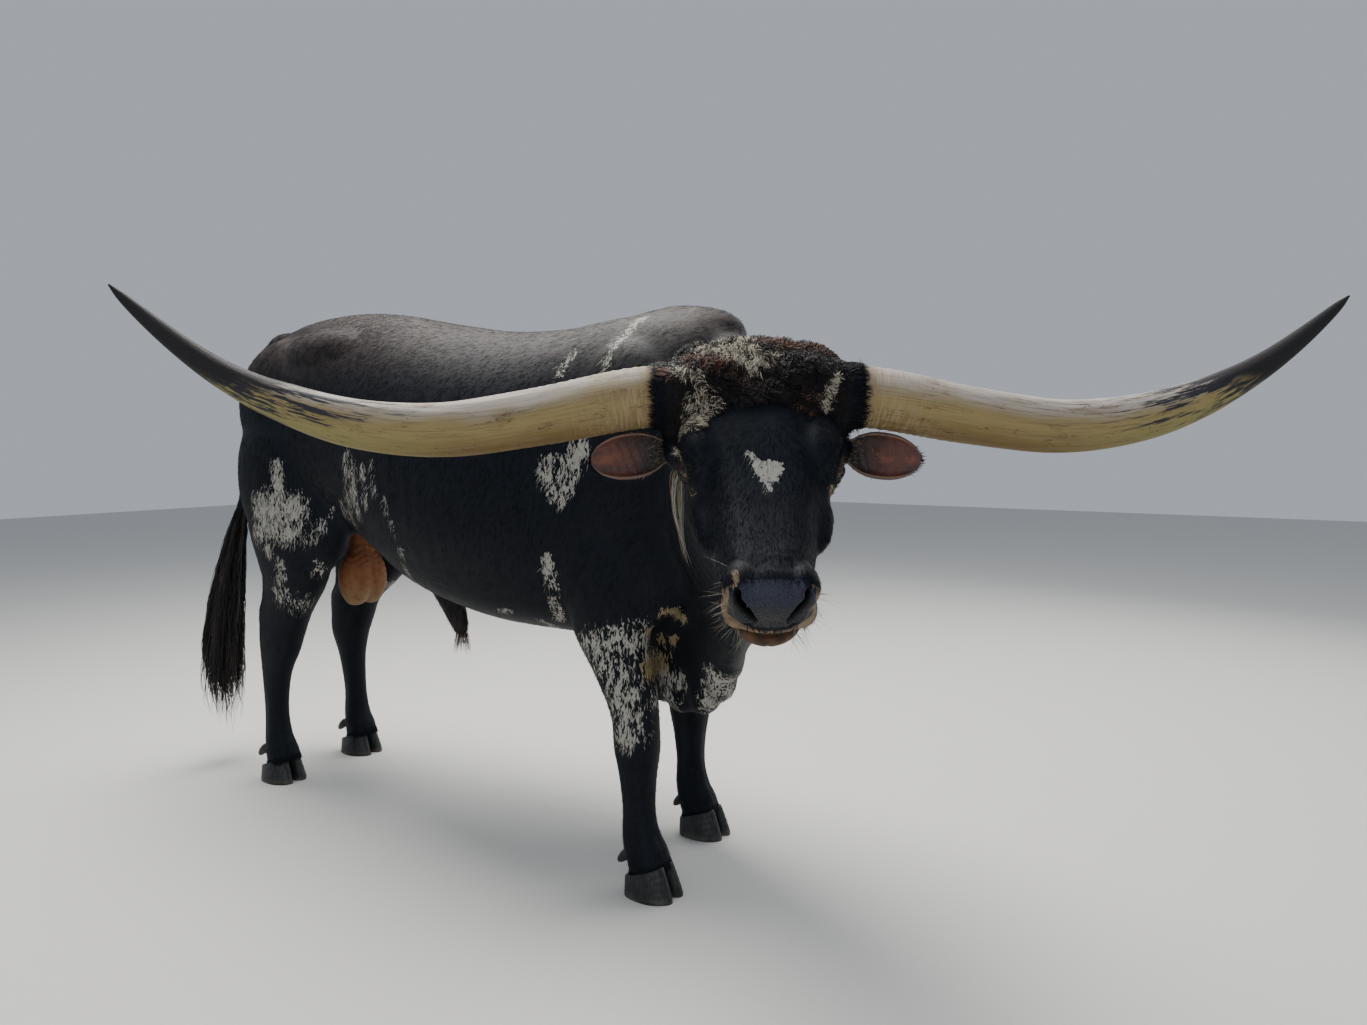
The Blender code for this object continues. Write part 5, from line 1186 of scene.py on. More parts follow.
# Hooves
# Two horn claws to a foot with ringed walls, pressed together at the toes, and two dewclaws
# behind the fetlock; dark slate keratin with pale vertical streaks and dust at the ground.
HOOF_LENGTH, HOOF_WIDTH = 0.128, 0.06
HOOF_ROWS, HOOF_SIDES = 26, 56

hoof_look = Finish("hoof_keratin")
step = hoof_look.step
hoof_place = hoof_look.node("TexCoord").outputs["Object"]
hoof_streak = hoof_look.noise(hoof_place, 170.0, 3.0, 0.6, (1.0, 1.0, 0.1))
hoof_cloud = hoof_look.noise(hoof_place, 30.0, 3.0)
height = hoof_look.node("SeparateXYZ", Vector=hoof_place).outputs[2]
hoof_look.surface(
    Base_Color=hoof_look.stained(
        (0.008, 0.01, 0.011), ((0.026, 0.028, 0.027), step(hoof_streak, 0.38, 0.7)),
        ((0.08, 0.072, 0.06), step(height, 0.022, 0.0), step(hoof_cloud, 0.3, 0.7))),
    Normal=hoof_look.bump(hoof_streak, 0.0003, 0.5), Roughness=0.46, Specular_IOR_Level=0.3)


def claw(foot_x, foot_y, outward):
    """Level rings up the hoof: half length and width shrink to the coronet, the inner side is
    flattened, the toe narrows with cos^2.2, and the top follows the coronet's slope. Rings of
    growth ride on the wall with the sine of the height."""
    share = np.concatenate([[0.0, 0.0], np.linspace(0.03, 1.0, HOOF_ROWS - 2)])
    shift, half_share, width_share = (np.interp(share, (0.0, 0.1, 1.0), column) for column in
                                      ((0.0, -0.001, -0.016), (0.5, 0.5, 0.4), (1.0, 1.02, 0.86)))
    inset = np.zeros(HOOF_ROWS)
    inset[0] = 0.004
    turn = 2.0 * np.pi * np.arange(HOOF_SIDES) / HOOF_SIDES
    c, s = np.cos(turn), np.sin(turn)
    half = (HOOF_LENGTH * half_share - inset)[:, None]
    width = (HOOF_WIDTH * width_share - inset)[:, None]
    bulge = 0.5 + 0.5 * np.sign(s) * np.abs(s) ** 0.7
    taper = 1.0 - 0.3 * np.maximum(0.0, c) ** 2.2
    x = foot_x + shift[:, None] + c * half
    wall = 0.0004 * np.sin(share * 31.0)[:, None] * (share > 0.05)[:, None] * ramp(bulge, 0.1, 0.6)
    y = foot_y + outward * (0.002 + 0.5 * inset[:, None] + bulge * width * taper + wall * np.maximum(s, 0.0))
    x = x + wall * c
    z = share[:, None] * (hoof_top(x, foot_x) + 0.004) + 0.0 * y
    return np.stack([x, y, z], -1)


def dewclaw(foot_x, foot_y, outward):
    """Tapered blunt cone that hangs back and down behind the fetlock."""
    back = foot_x - 0.072
    rows = [(back + 0.024, foot_y + outward * 0.022, 0.108, 0.015),
            (back + 0.006, foot_y + outward * 0.027, 0.098, 0.0145),
            (back - 0.01, foot_y + outward * 0.029, 0.084, 0.0105),
            (back - 0.018, foot_y + outward * 0.029, 0.076, 0.005)]
    rows = curve_through(rows, 16)
    rows[:, 3] += 0.0004 * np.sin(np.arange(16) * 1.9) * (rows[:, 3] > 0.006)
    return tube(rows, 24)


for foot, (foot_x, foot_y, _) in FEET.items():
    for label, sign in (("inner", -1.0), ("outer", 1.0)):
        outward = sign * math.copysign(1.0, foot_y)
        for kind, shape in (("claw", claw), ("dewclaw", dewclaw)):
            piece = put("hoof_" + foot + "_" + kind + "_" + label, *closed(shape(foot_x, foot_y, outward)))
            dress(piece, hoof_look, "hoof", foot + "_" + kind + "_" + label)

# Coat
# Short glossy hair laid in thin overlapping tufts, back and down over the body, straight down the
# legs, and away from the whorl on the forehead. Each tuft is a three-sided blade.
WHORL = np.array((0.014, 0.095, 0.031))


def lie(points):
    """Direction in which the hair lies: blends of one direction for each region."""
    x, z = points[:, 0], points[:, 2]
    h = in_head(points)

    def blend(base, share, direction):
        """Base times one less the share, plus the share times the direction."""
        return base * (1.0 - share[:, None]) + share[:, None] * np.asarray(direction)

    way = np.tile((-0.42, 0.0, -1.0), (len(points), 1))
    way = blend(way, ramp(z, 1.12, 1.36), (-1.0, 0.0, -0.75))
    way = blend(way, ramp(-x, 1.25, 1.55), (-0.45, 0.0, -1.0))
    way = blend(way, ramp(-z, -0.92, -0.66), (-0.16, 0.0, -1.0))
    ahead = ramp((points - np.array((0.1, 0.0, 0.0))) @ np.array((0.62, -0.78, 0.0)), -0.02, 0.22)
    way = blend(way, ahead, (-0.48, 0.58, -0.62))
    way = blend(way, ramp(-x, 1.725, 1.755), (-0.02, -0.05, -1.0))
    radial = h - WHORL
    radial[:, 2] *= 0.4
    face = unit(radial) + ramp(h[:, 1], 0.2, 0.34)[:, None] * (0.0, 1.2, 0.0)
    face = blend(face, ramp(-h[:, 2], 0.045, 0.11), (0.0, 0.15, -1.0))
    face = blend(face, ramp(-h[:, 1], -0.02, 0.05) * ramp(h[:, 2], -0.06, 0.0), (0.0, -1.0, -0.3))
    share = on_skull(points)[:, None]
    return way * (1.0 - share) + share * (face @ HEAD_AXES)


rng = np.random.default_rng(7)


def sampled(piece, count, weight=None):
    """Random places on a piece, as many on each triangle as its area times the weight asks for:
    each is two corners' steps from the first, folded back into the triangle. With the normals."""
    mesh = piece.data
    corners = np.zeros(3 * len(mesh.polygons), dtype=np.int32)
    mesh.polygons.foreach_get("vertices", corners)
    corners = corners.reshape(-1, 3)
    p, n = places(mesh), places(mesh, "normal")
    tri = p[corners]
    area = 0.5 * np.linalg.norm(np.cross(tri[:, 1] - tri[:, 0], tri[:, 2] - tri[:, 0]), axis=1)
    if weight is not None:
        area = area * weight(tri.mean(axis=1))
    chosen = rng.choice(len(area), size=count, p=area / area.sum())
    a, b = rng.random((2, count))
    fold = a + b > 1.0
    a, b = np.where(fold, 1.0 - a, a)[:, None], np.where(fold, 1.0 - b, b)[:, None]
    tri_n = n[corners[chosen]]
    tri_p = tri[chosen]
    place = tri_p[:, 0] + a * (tri_p[:, 1] - tri_p[:, 0]) + b * (tri_p[:, 2] - tri_p[:, 0])
    return place, unit(tri_n[:, 0] * (1 - a - b) + tri_n[:, 1] * a + tri_n[:, 2] * b)


def strands(path, width, across, thick=0.4, fine_at=1.4):
    """Blades along paths (strand, level, xyz): at each level but the last, a flat triangle of the
    half width across, falling as 1 - share^fine_at, and thick times that above it; a point last.
    Gives points, triangles, the share along the strand, the ways out of it, and points a strand."""
    count, levels = path.shape[:2]
    share = np.arange(levels - 1) / (levels - 1.0)
    half = 0.5 * width[:, None] * (1.0 - share ** fine_at)[None, :]
    ahead = unit(np.gradient(path, axis=1))
    side = unit(across[:, None, :] - ahead * np.einsum("ij,ikj->ik", across, ahead)[..., None])
    top = np.cross(side, ahead)
    side, top, body = side[:, :-1], top[:, :-1], path[:, :-1]
    ring = np.stack([body - side * half[..., None], body + side * half[..., None],
                     body + top * (2.0 * thick * half)[..., None]], axis=2)
    points = np.concatenate([ring.reshape(count, -1, 3), path[:, -1:]], axis=1)
    rows = levels - 1
    a = (np.arange(rows - 1)[:, None] * 3 + np.arange(3)).ravel()
    b = (np.arange(rows - 1)[:, None] * 3 + (np.arange(3) + 1) % 3).ravel()
    last = 3 * (rows - 1)
    tip = 3 * rows
    faces = np.vstack([np.column_stack([a, b + 3, b]), np.column_stack([a, a + 3, b + 3]),
                       [(last, tip, last + 1), (last + 1, tip, last + 2), (last + 2, tip, last), (0, 1, 2)]])
    size = 3 * rows + 1
    every = faces[None] + (np.arange(count) * size)[:, None, None]
    level = np.concatenate([np.repeat(share, 3), [1.0]])
    out = np.concatenate([np.stack([-side, side, top], axis=2).reshape(count, -1, 3), ahead[:, -1:]], axis=1)
    return points.reshape(-1, 3), every.reshape(-1, 3), np.tile(level, count), out.reshape(-1, 3), size


# Share of a sheet's cell that is kept free at each edge, and the size of a strand's patch in it
CELL_EDGE, PATCH = 0.03, 0.003


def unwrapped(root, normal):
    """Places on six boxes' faces laid out in a three by two sheet: the face is the one that the
    normal leans to most, and the two other coordinates, in the piece's own box, fill its cell."""
    low, high = root.min(axis=0) - 0.004, root.max(axis=0) + 0.004
    local = CELL_EDGE + (1.0 - 2.0 * CELL_EDGE) * (root - low) / max(high - low)
    axis = np.abs(normal).argmax(axis=1)
    sign = (np.take_along_axis(normal, axis[:, None], 1)[:, 0] > 0.0).astype(float)
    first = np.where(axis == 0, local[:, 1], local[:, 0])
    second = np.where(axis == 2, local[:, 1], local[:, 2])
    return np.column_stack([(axis + first) / 3.0, (sign + second) / 2.0])


def coat_piece(name, path, width, across, root, normal, look, marks=None, thick=0.4, fine_at=1.4, soft=0.7,
               nodes=()):
    """One piece of coat: its strands, and for the finish each strand's root, markings and own
    shade, and the sheet place of its root with a patch about 0.003 across. The share soft of
    the shading normal is the skin's, so that laid hair shades as one coat."""
    points, faces, level, out, size = strands(path, width, across, thick, fine_at)
    piece = put(name, points, faces)

    def spread(rows):
        """The rows of the strands, once for each of their points."""
        return np.repeat(rows, size, axis=0)

    give(piece, "custom_normal", "FLOAT_VECTOR", unit(soft * spread(normal) + (1.0 - soft) * out))
    give(piece, "root", "FLOAT_VECTOR", spread(root))
    give(piece, "marks", "FLOAT_COLOR", spread(markings(root) if marks is None else marks))
    shade, tone = rng.random(len(root)), rng.random(len(root))
    give(piece, "strand", "FLOAT_VECTOR", np.column_stack([spread(shade), level, spread(tone)]))
    sheet = piece.data.uv_layers.new(name="OFBake")
    corner_side = np.tile(np.concatenate([np.tile((-0.5, 0.5, 0.0), (size - 1) // 3), [0.0]]), len(root))
    uv = spread(unwrapped(root, normal)) + PATCH * np.column_stack([corner_side, level - 0.5])
    corners = np.zeros(len(piece.data.loops), dtype=np.int32)
    piece.data.loops.foreach_get("vertex_index", corners)
    sheet.data.foreach_set("uv", uv[corners].astype(np.float32).ravel())
    dress(piece, look, "hair", *nodes)


def coat_look(name, roughness, light, specular=0.3, loose=0.9, dark=BLACK_HAIR, root_shade=0.85, pale=WHITE):
    """Finish of a coat: the hair colour at the root, each strand lighter or darker, and paler towards the
    tip: partly the hair's own paler tips, partly painted shade near the skin, strongest in the curls.
    """
    finish = Finish(name)
    shade, level, tone = finish.parts("strand")
    colour = hair_colour(finish, finish.around(shade, loose), dark, pale)
    lighter = finish.math("ADD", finish.math("MULTIPLY", tone, 0.75), 0.62)
    # Darker towards the root by root_shade: partly painted shade deep in the coat
    paler = finish.math("ADD", finish.math("MULTIPLY", level, light), root_shade)
    brightness = finish.math("MULTIPLY", lighter, paler)
    scaled = finish.node("VectorMath", {"operation": "SCALE"}, i0=colour, Scale=brightness)
    finish.surface(Base_Color=scaled, Roughness=roughness, Specular_IOR_Level=specular,
                   Specular_Tint=HAIR_SHEEN)
    return finish


def swung(way, normal, angle):
    """The way laid into the plane across the normal and turned in it by the angle, and its side."""
    way = unit(way - normal * np.einsum("ij,ij->i", way, normal)[:, None])
    way = way * np.cos(angle)[:, None] + np.cross(normal, way) * np.sin(angle)[:, None]
    return way, np.cross(normal, way)


def times(direction, amount):
    """Each strand's direction times its amount at each level."""
    return direction[:, None] * amount[..., None]


ROOT_DEPTH, SIDE_SWAY, TURN_SPREAD = 0.0005, 0.22, 0.16


def laid(root, normal, way, length, lift, levels):
    """Paths of short tufts: along the lie in the skin's plane, with a random sideways sway of the
    square of the share, rising by lift times the sine of three quarters of a half turn."""
    share = np.linspace(0.0, 1.0, levels)
    way, side = swung(way, normal, rng.normal(0.0, TURN_SPREAD, len(root)))
    bend = rng.normal(0.0, SIDE_SWAY, len(root))
    path = (root[:, None] - normal[:, None] * ROOT_DEPTH + times(way, length[:, None] * share)
            + times(side, (length * bend)[:, None] * share ** 2)
            + times(normal, lift[:, None] * np.sin(0.75 * np.pi * share)))
    return path, side


short_coat = coat_look("short_coat", 0.52, 0.35, 0.1)


def furry(points):
    """Weight of hair at the places: none on the nose plate, lips, scrotum, inside the eyes."""
    low, high = (0.2, 0.6, 0.2, 0.5), (0.6, 0.9, 0.6, 0.8)
    return 1.0 - np.max([ramp(share, *edges) for share, *edges in zip(bare(points).T, low, high)], axis=0)


def body_part(name, count, keep, length, width, lift, soft=0.82):
    """Tufts on the part of the skin that keep chooses, each up to a quarter larger or smaller."""
    place, normal = sampled(skin, count, lambda q: keep(q) * furry(q))
    size = rng.uniform(0.75, 1.25, count)
    path, side = laid(place, normal, lie(place), length * size, lift * size * rng.uniform(0.3, 1.2, count), 2)
    coat_piece(name, path, width * size, side, place, normal, short_coat, thick=0.22, soft=soft)


def head_part(points):
    """Places ahead of the nape."""
    return on_skull(points) > 0.5


BODY_TUFTS, LEG_TUFTS, HEAD_TUFTS = 33000, 20000, 44000
MID_BODY, LEG_TOP = -0.7, 0.45
for name, left, fore in (("right_hind", False, False), ("right_fore", False, True),
                         ("left_hind", True, False), ("left_fore", True, True)):
    body_part("coat_" + name, BODY_TUFTS, lambda q: ((q[:, 1] >= 0) == left) * ((q[:, 0] >= MID_BODY) == fore)
              * ~head_part(q) * (q[:, 2] > LEG_TOP), 0.024, 0.0024, 0.0024)
body_part("coat_lower_legs", LEG_TUFTS, lambda q: 1.0 * (q[:, 2] <= LEG_TOP), 0.016, 0.0021, 0.002)
body_part("coat_head", HEAD_TUFTS, lambda q: 1.0 * head_part(q), 0.012, 0.0014, 0.002, 0.72)

# Curly hair of the poll
# A low woolly mass between the horns, from behind the crest down to the whorl and to the right
# brow: fine wisps in small swirls, cream, rust, brown and black together, short at the edges.
CREAM = (0.44, 0.385, 0.29)
# Roots under half as bright as the tips: partly paler tips, partly painted shade between the curls
curl_coat = coat_look("curly_coat", 0.58, 0.8, 0.16, 1.5, (0.012, 0.0086, 0.008), 0.42, CREAM)


def curly(points):
    """Weight of curls on the head: over the crest, down to a line at the whorl, lower on both sides."""
    u, v, w = in_head(points).T
    low = 0.066 + 0.052 * bell(u, -0.105, 0.035) + 0.018 * bell(u, 0.08, 0.025)
    over = (on_skull(points) > 0.5) * ramp(low - v, 0.0, 0.024) * ramp(v, -0.115, -0.095) * (w > -0.055)
    return over * ramp(-np.abs(u), -0.158, -0.128) * (1.0 + 1.2 * ramp(v, 0.02, 0.07) * ramp(-u, 0.04, 0.08))


CURLS = 10500
for name, low, high in (("right", -1.0, -0.052), ("middle", -0.052, 0.04), ("left", 0.04, 1.0)):
    place, normal = sampled(
        skin, CURLS, lambda q: curly(q) * (in_head(q)[:, 0] > low) * (in_head(q)[:, 0] <= high))
    u, v, _ = in_head(place).T
    # Small swirls: neighbours turn together by sines of the place
    swirl = 1.15 * np.sin(u * 118.0 + 2.0 * np.sin(v * 87.0)) + 0.9 * np.sin(v * 141.0 - u * 63.0 + 1.3)
    smooth = np.clip(field(np.column_stack([u, v]), WHITE_HEAD[:4]), 0.0, 1.0)
    swirl = swirl * (1.0 - 0.75 * smooth) + rng.normal(0.0, 0.28, CURLS)
    back = np.where(v < -0.078, -1.0, 1.0)
    way, side = swung(np.column_stack([3.4 * u, back, 0 * u]) @ HEAD_AXES, normal, swirl)
    edge = ramp(0.08 - v, 0.0, 0.06) * ramp(-np.abs(u), -0.158, -0.1)
    inner = ramp(-np.abs(u), -0.15, -0.04)
    length = rng.uniform(0.009, 0.017, CURLS) * (1.0 + 0.55 * smooth) * (0.55 + 0.45 * inner)
    share = np.linspace(0.0, 1.0, 4)
    phase = rng.uniform(0.0, 2.0 * np.pi, CURLS)[:, None]
    swing = rng.uniform(0.0016, 0.0036, CURLS)[:, None] * (1.0 - 0.6 * smooth[:, None])
    tuft = 0.5 + 0.5 * np.sin(u * 150.0 + 1.7 * np.sin(v * 90.0)) * np.sin(v * 165.0 + 0.8)
    height = (rng.uniform(0.0015, 0.0065, CURLS) * (0.4 + 0.6 * inner)
              + edge * (0.0015 + 0.005 * tuft + 0.004 * inner) * rng.uniform(0.5, 1.3, CURLS))
    turn = 2.0 * np.pi * rng.uniform(0.5, 0.95, CURLS)[:, None] * share + phase
    path = (place[:, None] - 0.0008 * normal[:, None]
            + times(way, length[:, None] * share + swing * (np.cos(turn) - np.cos(phase)))
            + times(side, swing * (np.sin(turn) - np.sin(phase)))
            + times(normal, height[:, None] * np.sin(0.8 * np.pi * share ** 0.8)))
    coat_piece("poll_curls_" + name, path, rng.uniform(0.0011, 0.0022, CURLS), side, place, normal, curl_coat,
               fine_at=2.0, thick=0.5, soft=0.58)

# Fringes, tassels, whiskers and lashes
# Longer hair that stands clear: over the horn roots, on the ears and under them, round the muzzle,
# on the lids and at the end of the sheath.
fringe_coat = coat_look("fringe_coat", 0.5, 0.5, 0.3, 0.6, (0.012, 0.009, 0.0082), 0.75)
# Markings of a strand that is cream, buff, brown or dark
STRAND_KINDS = np.array([(1.5, 0.0, 0.0, 0.0), (0.0, 1.5, 0.0, 0.0),
                         (0.0, 0.0, 1.5, 0.0), (0.0, 0.0, 0.0, 0.0)])


def drooping(root, way, length, levels, sag, curl=0.0):
    """Paths that set out along way and turn down: the way at each level is the first less sag times
    the share of UP, with a wave of curl across; the steps are added up and scaled to the length."""
    share = np.linspace(0.0, 1.0, levels)
    ways = unit(way)[:, None] - UP * (np.asarray(sag) * share ** 1.2)[..., None]
    side = unit(np.cross(way, UP) + 1e-6)
    phase = rng.uniform(0.0, 2.0 * np.pi, len(root))[:, None]
    ways = unit(ways) + side[:, None] * (curl * np.sin(5.0 * share + phase))[..., None]
    steps = ways[:, :-1] * (np.asarray(length)[:, None] / (levels - 1.0))[..., None]
    return np.concatenate([root[:, None], root[:, None] + np.cumsum(steps, axis=1)], axis=1)


def mixed(count, *shares):
    """Markings of each strand drawn from the four kinds with the given shares."""
    return STRAND_KINDS[rng.choice(4, size=count, p=shares)]


def fringe(name, root, normal, way, length, width, levels, sag, marks, curl=0.0, soft=0.35, fine_at=1.8):
    """One piece of drooping strands."""
    path = drooping(root, way, length, levels, sag, curl)
    coat_piece(name, path, width, unit(np.cross(way, UP) + 1e-6), root, normal, fringe_coat, marks,
               thick=0.6, fine_at=fine_at, soft=soft)


# Over the coronet of each hoof
CORONET_HAIRS = 5200


def over_coronet(points):
    """Weight of the hair just above the hooves."""
    weight = np.zeros(len(points))
    for foot_x, foot_y, _ in FEET.values():
        above = points[:, 2] - hoof_top(points[:, 0], foot_x)
        beside = (np.abs(points[:, 0] - foot_x) < 0.1) & (np.abs(points[:, 1] - foot_y) < 0.09)
        weight = np.maximum(weight, beside * ramp(above, -0.004, 0.002) * (1.0 - ramp(above, 0.01, 0.016)))
    return weight


place, normal = sampled(skin, CORONET_HAIRS, over_coronet)
size = rng.uniform(0.7, 1.3, CORONET_HAIRS)
way = normal * 0.22 - UP + 0.12 * rng.normal(size=(CORONET_HAIRS, 3))
path = place[:, None] + times(unit(way), 0.012 * size[:, None] * np.linspace(0.0, 1.0, 3))
coat_piece("coronet_hair", path, 0.0019 * size, unit(np.cross(way, normal)), place, normal, short_coat,
           marks=np.zeros((CORONET_HAIRS, 4)), thick=0.4, soft=0.5)

TASSEL_SHARE = {"right": 1.0, "left": 0.45}
TASSEL_INWARD = {"right": 0.0, "left": 0.02}
# Outward, forward and up from the head's origin
TASSEL_LINE = [(0.116, 0.0, -0.112), (0.132, 0.003, -0.132), (0.134, 0.011, -0.2),
               (0.121, 0.021, -0.262), (0.102, 0.032, -0.325)]
HORN_HAIRS, EAR_HAIRS, EAR_DOWN, TASSEL_HAIRS, LID_HAIRS, LASHES = 2600, 5200, 16000, 150, 4200, 34
for name, side in SIDES.items():
    # Short dark fur runs out over the root of the horn
    place, normal = sampled(skin, HORN_HAIRS, lambda q: (in_head(q)[:, 0] * side > 0.146) * (
        np.linalg.norm(in_head(q)[:, 1:], axis=1) < 0.085))
    out = np.tile(np.array((side, 0.0, 0.0)) @ HEAD_AXES, (HORN_HAIRS, 1))
    size = rng.uniform(0.7, 1.3, HORN_HAIRS)
    way = out + 0.25 * rng.normal(size=(HORN_HAIRS, 3))
    path, across = laid(place, normal, way, 0.019 * size, 0.003 * size, 3)
    coat_piece("horn_fringe_" + name, path, 0.0017 * size, across, place, normal, short_coat,
               thick=0.4, soft=0.6)

    # Outside of the ear, and pale hairs along its edge and in its cup
    place, normal = sampled(ears[name], EAR_HAIRS)
    mirror = np.array((side, 1.0, 1.0))
    reach, face = unit(mirror * EAR_REACH @ HEAD_AXES), unit(np.array(EAR_FACE) @ HEAD_AXES)
    outside = normal @ face < 0.05
    place, normal = place[outside], normal[outside]
    size = rng.uniform(0.7, 1.3, len(place))
    path, across = laid(place, normal, np.tile(reach, (len(place), 1)), 0.011 * size, 0.0018 * size, 2)
    coat_piece("ear_coat_" + name, path, 0.0013 * size, across, place, normal, short_coat,
               marks=np.zeros((len(place), 4)), thick=0.3, soft=0.7)
    place, normal = sampled(ears[name], EAR_DOWN)
    out_share = (place - on_head(mirror * EAR_ROOT)) @ reach / EAR_LENGTH
    inner = (normal @ face > 0.15) & (out_share > 0.1) & (out_share < 0.55)
    inner &= rng.random(EAR_DOWN) < 0.055 + 0.1 * (out_share < 0.3)
    place, normal = place[inner], normal[inner]
    way = reach * 0.5 + normal * 0.45 + 0.35 * rng.normal(size=(len(place), 3))
    fringe("ear_hair_" + name, place, normal, way, rng.uniform(0.004, 0.012, len(place)),
           np.full(len(place), 0.0007), 4, 0.3, mixed(len(place), 0.06, 0.16, 0.34, 0.44), 0.1)

    # Tassel under the root of the ear: clumps of hairs round one line, some short, some long
    middle = curve_through(TASSEL_LINE, 12)
    last = np.where(rng.random(TASSEL_HAIRS) < 0.5, rng.uniform(0.28, 0.5, TASSEL_HAIRS),
                    rng.uniform(0.62, 0.86, TASSEL_HAIRS))
    last *= TASSEL_SHARE[name]
    at = last[:, None] * np.linspace(0.0, 1.0, 8) * 11.0
    outward, forward, up = (np.interp(at, np.arange(12), middle[:, i]) for i in range(3))
    clump = rng.normal(0.0, 1.0, (9, 2))[rng.integers(0, 9, TASSEL_HAIRS)]
    sway = (clump + rng.normal(0.0, 0.45, (TASSEL_HAIRS, 2)))[:, None] * np.interp(
        at, (0.0, 3.0, 11.0), (0.0052, 0.0066, 0.0012))[..., None]
    wave = np.interp(at, (0.0, 4.0, 11.0), (0.0, 0.0024, 0.0036)) * np.sin(at * 1.1 + 5.0 * clump[:, :1])
    rise = rng.uniform(-0.01, 0.008, (TASSEL_HAIRS, 1)) * np.linspace(1.0, 0.0, 8)
    outward = outward + sway[..., 0] * 0.9 + wave - TASSEL_INWARD[name]
    path = level_head(outward, forward + sway[..., 1], up + rise, side)
    width = rng.uniform(0.001, 0.002, TASSEL_HAIRS)
    marks = mixed(TASSEL_HAIRS, 0.44, 0.34, 0.12, 0.1)
    coat_piece("ear_tassel_" + name, path, width, np.tile(HEAD_LEFT, (TASSEL_HAIRS, 1)), path[:, 0],
               np.tile(AHEAD, (TASSEL_HAIRS, 1)), fringe_coat, marks, thick=0.6, fine_at=2.4, soft=0.3)

    # Hair of the lids, and the lashes of the upper one
    lid, edge, looks, along_slit, above_slit, centre = lid_edges[name]
    place, normal = sampled(lid, LID_HAIRS)
    local = (place - centre) @ np.array((along_slit, above_slit, looks)).T
    ring = np.hypot(local[:, 0] / SLIT_HALF_LENGTH, local[:, 1] / SLIT_HALF_HEIGHT)
    keep = (ring > 1.3) & (local[:, 2] > 0.004) & (normal @ looks > 0.1)
    place, normal = place[keep], normal[keep]
    one = np.ones(len(place))
    path, across = laid(place, normal, lie(place), rng.uniform(0.005, 0.009, len(place)), 0.0012 * one, 2)
    coat_piece("lid_coat_" + name, path, 0.0011 * one, across, place, normal, short_coat, thick=0.3)
    chosen = rng.choice(np.arange(3, LID_SIDES // 2 - 3), LASHES)
    root = edge[chosen] + rng.normal(0.0, 0.0007, (LASHES, 3))
    away = unit((edge[chosen] - centre) @ np.outer(along_slit, along_slit) * 0.6 + above_slit * 0.006)
    way = looks * 0.75 + away * 0.55 + 0.12 * rng.normal(size=(LASHES, 3))
    fringe("lashes_" + name, root, np.tile(looks, (LASHES, 1)), way, rng.uniform(0.01, 0.017, LASHES),
           np.full(LASHES, 0.0008), 5, 0.65, mixed(LASHES, 0.03, 0.17, 0.3, 0.5))


def whiskered(points):
    """Weight of whiskers: sides of the muzzle, lips and chin, off the nose plate."""
    u, v, w = in_head(points).T
    off_plate = 1.0 - ramp(bare(points)[:, 0], 0.1, 0.4)
    muzzle = head_part(points) * off_plate * ramp(v, 0.335, 0.385) * ramp(-w, 0.01, 0.055)
    return muzzle * (0.06 + (np.abs(u) > 0.035))


WHISKERS, SHEATH_HAIRS = 130, 110
place, normal = sampled(skin, WHISKERS, whiskered)
way = unit(normal + (np.array((0.0, -0.2, -0.45)) @ HEAD_AXES) + 0.22 * rng.normal(size=(WHISKERS, 3)))
fringe("muzzle_whiskers", place, normal, way, rng.uniform(0.014, 0.046, WHISKERS),
       rng.uniform(0.0005, 0.0008, WHISKERS), 5, rng.uniform(0.0, 0.5, (WHISKERS, 1)),
       mixed(WHISKERS, 0.62, 0.2, 0.06, 0.12), soft=0.2)

turn = rng.uniform(0.0, 2.0 * np.pi, SHEATH_HAIRS)
ring = np.column_stack([np.cos(turn), np.sin(turn), 0 * turn])
root = np.array((-0.8, 0.0, 0.532)) + ring * rng.uniform(0.006, 0.018, SHEATH_HAIRS)[:, None]
fringe("sheath_hair", root, ring, ring * 0.25 - UP, rng.uniform(0.03, 0.075, SHEATH_HAIRS),
       rng.uniform(0.001, 0.0018, SHEATH_HAIRS), 6, 0.8, mixed(SHEATH_HAIRS, 0.05, 0.25, 0.35, 0.35), 0.15)

# Switch of the tail
# Long coarse black hair from the last bones of the tail, in loose wavy locks that narrow at the end.
SWITCH_PATH = [
    (-1.791, -0.056, 0.95, 0.022), (-1.793, -0.088, 0.83, 0.031), (-1.794, -0.114, 0.72, 0.043),
    (-1.798, -0.132, 0.61, 0.054), (-1.803, -0.146, 0.5, 0.063), (-1.806, -0.154, 0.39, 0.069),
    (-1.804, -0.158, 0.29, 0.069), (-1.796, -0.16, 0.19, 0.056), (-1.778, -0.16, 0.085, 0.024),
]
LONG_HAIRS = 1900
outline = curve_through(SWITCH_PATH, 61)
start = rng.uniform(0.0, 0.44, LONG_HAIRS)
tip = np.minimum(rng.uniform(0.8, 1.0, LONG_HAIRS), start + rng.uniform(0.26, 0.6, LONG_HAIRS))
share = np.linspace(0.0, 1.0, 9)
at = (start[:, None] + (tip - start)[:, None] * share) * 60.0
x, y, z, radius = (np.interp(at, np.arange(61), outline[:, i]) for i in range(4))
turn = rng.uniform(0.0, 2.0 * np.pi, LONG_HAIRS)[:, None] + rng.normal(0.0, 0.5, LONG_HAIRS)[:, None] * share
fullness = np.sqrt(rng.uniform(0.02, 1.0, LONG_HAIRS))[:, None]
clump = 0.16 * np.sin(7.0 * turn + 3.0 * share) + 0.06 * np.sin(17.0 * turn)
spread = 0.16 + (fullness + clump - 0.16) * np.sin(0.5 * np.pi * np.minimum(1.0, share / 0.35))
spread = radius * np.minimum(1.0, spread)
